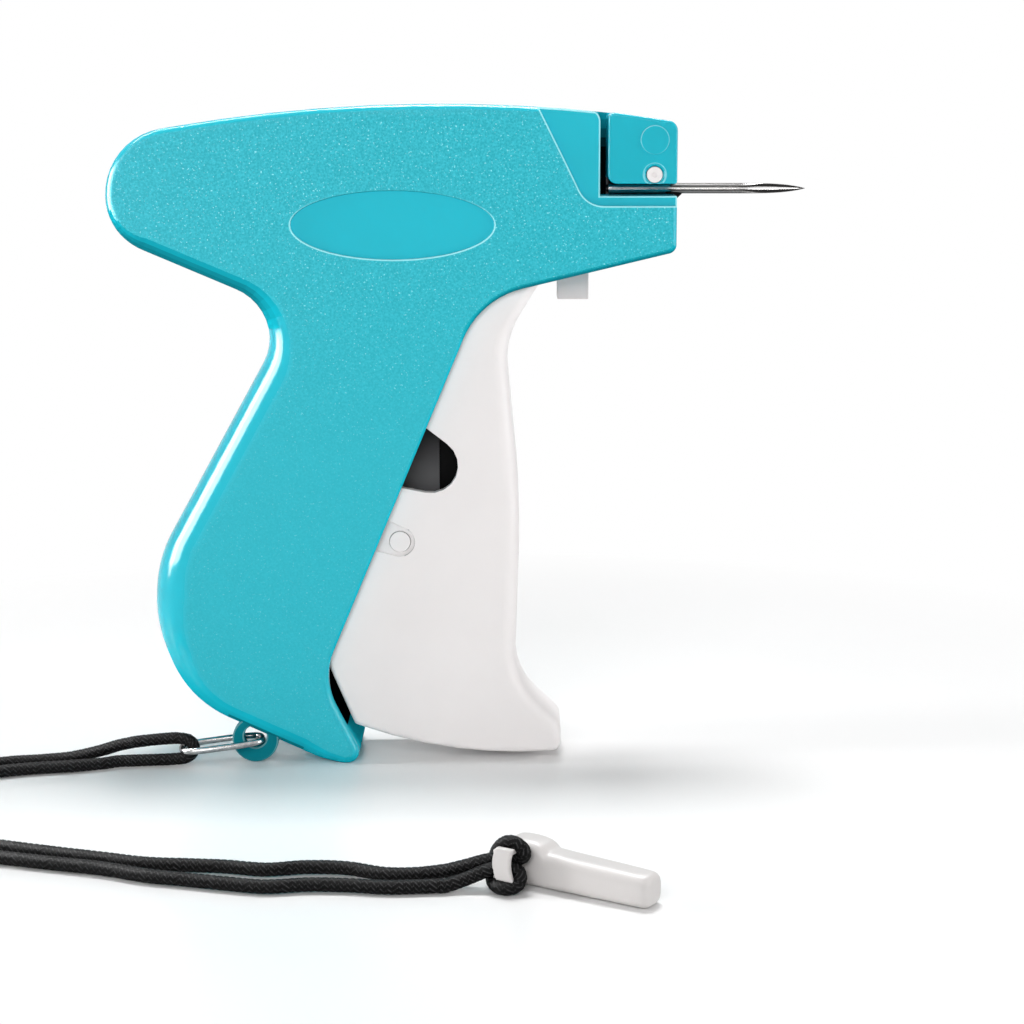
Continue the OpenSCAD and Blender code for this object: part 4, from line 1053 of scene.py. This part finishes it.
# %% Cut the cross recess
bar_long, bar_wide, bar_deep, bar_y = 2.9, 0.75, 1.9, 2.0
for width, length in ((bar_wide, bar_long), (bar_long, bar_wide)):
    bar = bpy.data.meshes.new("recess")
    form = bmesh.new()
    bar_size = Matrix.Diagonal((width * MM, bar_deep * MM, length * MM, 1))
    bmesh.ops.create_cube(form, size=1.0, matrix=Matrix.Translation(mm(0, bar_y, 0)) @ bar_size)
    form.to_mesh(bar)
    form.free()
    cutter = bpy.data.objects.new("recess", bar)
    scene.collection.objects.link(cutter)
    cut = screw.modifiers.new("recess", "BOOLEAN")
    cut.operation, cut.solver, cut.object = "DIFFERENCE", "EXACT", cutter
    graph = bpy.context.evaluated_depsgraph_get()
    solid = bpy.data.meshes.new_from_object(screw.evaluated_get(graph))
    screw.modifiers.clear()
    screw.data = solid
    bpy.data.objects.remove(cutter)
print("one screw has", len(screw.data.polygons), "faces")

# %% Set the screws
MOST_TURN = 1.5
screw_tree, given, result = new_tree("screws at points", [
    ("Geometry", "NodeSocketGeometry"), ("Screw", "NodeSocketObject"), ("Seed", "NodeSocketInt"),
    ("Finish", "NodeSocketMaterial"),
])
t = screw_tree
shape = add_node(t, "GeometryNodeObjectInfo", {"Object": given.outputs["Screw"]})
spin = add_node(t, "FunctionNodeRandomValue", {
    2: 0.0, 3: MOST_TURN, "Seed": given.outputs["Seed"],
}, data_type="FLOAT")
turn = add_node(t, "ShaderNodeCombineXYZ", {"Y": spin.outputs[1]})
copies = add_node(t, "GeometryNodeInstanceOnPoints", {
    "Points": given.outputs["Geometry"], "Instance": shape.outputs["Geometry"],
    "Rotation": turn.outputs[0],
})
end_tree(t, copies.outputs[0], given, result, smooth=False)
screw_seat = 8.3
screw_places = [(-64, 130), (10, 140.4), (40, 121.5), (-36, 92), (LOW_SCREW_X, LOW_SCREW_Z)]
seats = bpy.data.meshes.new("screw seats")
seats.from_pydata([mm(x, screw_seat, z) for x, z in screw_places], [], [])
seat_points = bpy.data.objects.new("screw seats", seats)
scene.collection.objects.link(seat_points)
case_screws = run_tree(screw_tree, "case_screws_cross", seat_points, {
    "Screw": screw, "Seed": 4, "Finish": wire_finish,
})
bpy.data.objects.remove(screw)
put(case_screws, "case_screws")

# %% [markdown]
# ## The needle cap
# The cap is a tapered tube with a nearly square section, softened at its corners, and a hump over its
# mouth. Its rings are squared ovals: a power on the sine and cosine makes the sides flat. A small
# bail beside the mouth takes the cord: two legs and a bowed band, which are plates with soft edges.

# %% Make the cap, in millimetres
cap_place, cap_turn = Vector((12.7, -90.5, 0)), Matrix.Rotation(math.radians(-32.5), 3, "Z")
cap_angles = turns(72)
# Along the axis from the mouth, width, height and lift of its lower side
cap_profile = [
    (0.0, 6.1, 8.2, 0.5), (0.12, 6.6, 8.6, 0.28), (0.4, 7.1, 8.95, 0.1), (0.8, 7.38, 9.15, 0.0),
    (2.0, 7.4, 9.3, 0.0), (4.0, 7.4, 9.3, 0.0), (5.6, 7.4, 9.15, 0.0), (6.8, 7.4, 8.85, 0.0),
    (7.6, 7.4, 8.4, 0.0), (8.1, 7.4, 7.95, 0.0), (8.5, 7.38, 7.6, 0.0), (9.0, 7.36, 7.4, 0.0),
    (14.0, 7.18, 7.18, 0.0), (22.0, 6.9, 6.9, 0.0), (28.4, 6.64, 6.64, 0.0), (29.5, 6.55, 6.55, 0.02),
    (30.15, 6.2, 6.2, 0.2), (30.6, 5.6, 5.6, 0.5), (30.87, 4.9, 4.9, 0.85), (31.0, 3.9, 3.9, 1.35),
]
# Along the axis and radius of the bore, from its blind end to the mouth
bore_profile = [(29.4, 0.4), (29.0, 1.7), (0.5, 2.1), (0.0, 2.5)]
bore_z = 3.4


def cap_point(x, y, z):
    """A point of the cap, given along its axis, across and up, in the frame."""
    return tuple(cap_place + cap_turn @ Vector((x, y, z)))


def cap_ring(x, wide, tall, lift):
    """A squared oval round the cap's axis."""
    return [
        cap_point(x, wide / 2 * blunt(math.cos(a)), lift + tall / 2 * (1 + blunt(math.sin(a))))
        for a in cap_angles
    ]


cap_rings = [
    [cap_point(x, r * math.cos(a), bore_z + r * math.sin(a)) for a in cap_angles] for x, r in bore_profile
]
cap_rings += [cap_ring(*station) for station in cap_profile]
needle_cap = skin("needle_cap_moulded", cap_rings, cap_finish)

# %% Helper that adds a plate to the cap


def cap_plate(outline, low, high, edge):
    """Add a plate to the cap: an outline of points along and up, from low to high across it."""
    form = bmesh.new()
    near = [form.verts.new(mm(*cap_point(x, low, z))) for x, z in outline]
    far = [form.verts.new(mm(*cap_point(x, high, z))) for x, z in outline]
    form.faces.new(near)
    form.faces.new(far[::-1])
    for k in range(len(outline)):
        form.faces.new((near[k - 1], far[k - 1], far[k], near[k]))
    bmesh.ops.recalc_face_normals(form, faces=form.faces)
    bevel(form, [e for e in form.edges if e.calc_face_angle(0) > SHARP], edge, 3)
    for face in form.faces:
        face.smooth = True
    plate = bpy.data.meshes.new("plate")
    form.to_mesh(plate)
    form.free()
    whole = bmesh.new()
    whole.from_mesh(needle_cap.data)
    whole.from_mesh(plate)
    whole.to_mesh(needle_cap.data)
    whole.free()
    bpy.data.meshes.remove(plate)


# %% Add the bail
bail_x, bail_w, bail_bow = 0.6, 3.8, 0.9
bail_low, bail_tall, bow_steps = 2.7, 6.6, 16
leg_end, leg_edge = -9.2, 0.2
band_outer, band_inner, band_edge = -9.7, -8.5, 0.35
# Bottom and top of each leg, and where it meets the cap
for low, high, root in ((2.9, 3.7, -3.2), (7.8, 8.6, -1.0)):
    leg = [(bail_x, low), (bail_x + bail_w, low), (bail_x + bail_w, high), (bail_x, high)]
    cap_plate(leg, leg_end, root, leg_edge)
bow = []
for k in range(bow_steps + 1):
    bend = (2 * k / bow_steps - 1) ** 2
    bow.append((bail_x + bail_bow * bend, bail_low + bail_tall * k / bow_steps))
band = bow + [(x + bail_w, z) for x, z in reversed(bow)]
cap_plate(band, band_outer, band_inner, band_edge)
put(needle_cap, "needle_cap")
print("cap with bail has", len(needle_cap.data.polygons), "faces")

# %% [markdown]
# ## Floor and background
# The tool stands on a white table that runs into a white background. The floor is plain white and
# keeps the soft shadow near the tool; further off it fades into the background, which is made white
# for the camera and for reflections, without adding light to the object.

# %% Floor
reach = 3.0
fade_start, fade_end = 0.13, 0.24
floor_mesh = bpy.data.meshes.new("floor")
corners = [(-reach, -reach, 0), (reach, -reach, 0), (reach, reach, 0), (-reach, reach, 0)]
floor_mesh.from_pydata(corners, [], [(0, 1, 2, 3)])
floor = bpy.data.objects.new("floor", floor_mesh)
scene.collection.objects.link(floor)
floor.location.z = -0.05 * MM
table, tree, shader, place = new_finish("white table", Roughness=0.3, Specular_IOR_Level=0.3)
shader.inputs["Base Color"].default_value = (0.9, 0.9, 0.9, 1)


def white_rays(tree):
    """1 for the rays that see a white room: from the camera, from gloss and through glass."""
    rays = add_node(tree, "ShaderNodeLightPath").outputs
    seen = math_node(tree, "MAXIMUM", rays["Is Camera Ray"], rays["Is Glossy Ray"])
    return math_node(tree, "MAXIMUM", seen, rays["Is Transmission Ray"])


away = add_node(tree, "ShaderNodeVectorMath", {0: place}, operation="LENGTH").outputs["Value"]
fade = math_node(tree, "MULTIPLY", white_rays(tree), remap(tree, away, fade_start, fade_end))
white = add_node(tree, "ShaderNodeEmission")
mixed = add_node(tree, "ShaderNodeMixShader", {0: fade, 1: shader.outputs[0], 2: white.outputs[0]})
tree.links.new(mixed.outputs[0], tree.nodes["Material Output"].inputs["Surface"])
floor_mesh.materials.append(table)
print("floor reaches", reach, "m")

# %% Background
room_light = 0.09
world = bpy.data.worlds.new("white room")
world.use_nodes = True
scene.world = world
tree = world.node_tree
background = tree.nodes["Background"]
background.inputs["Color"].default_value = (1, 1, 1, 1)
tree.links.new(remap(tree, white_rays(tree), 0.0, 1.0, room_light, 1.0), background.inputs["Strength"])
print("the room lights the tool at", room_light)

# %% [markdown]
# ## Lamps
# Large soft lamps light the tool at a plain level, so that its colours show as they are written.
# Two strips only show in reflections and light nothing: one close to the grip draws the white streak
# down its back, and a long narrow one above the head draws the bright line along its top. The first
# is small and near, so that it stays out of the reflections on the rest of the casing.

# %% Set the lamps, in millimetres and watts


def soft_lamp(name, place, aim, size, power, lights=True):
    """An area lamp turned to its aim; one that lights nothing shows in reflections only."""
    data = bpy.data.lights.new(name, "AREA")
    data.shape = "RECTANGLE"
    data.size, data.size_y = size[0] * MM, size[1] * MM
    data.energy = power
    lamp = bpy.data.objects.new(name, data)
    scene.collection.objects.link(lamp)
    lamp.location = mm(*place)
    lamp.rotation_euler = (mm(*aim) - mm(*place)).to_track_quat("-Z", "Y").to_euler()
    lamp.visible_camera = False
    lamp.visible_diffuse = lights
    print(name, "gives", power, "W")


soft_lamp("key lamp", (-140, -790, 430), (0, 0, 70), (480, 360), 3.3)
soft_lamp("left strip", (-660, -70, 190), (-30, 0, 80), (100, 420), 2.2)
soft_lamp("streak strip", (-195, -45, 110), (-55, -12, 62), (100, 130), 1.06, lights=False)
soft_lamp("rim strip", (-150, 200, 700), (-30, 0, 120), (1300, 50), 10.0, lights=False)
soft_lamp("right panel", (660, -190, 200), (20, 0, 90), (300, 460), 2.0)
soft_lamp("top lamp", (0, 110, 760), (0, -20, 0), (220, 140), 3.9)
scene.view_settings.view_transform = "Standard"
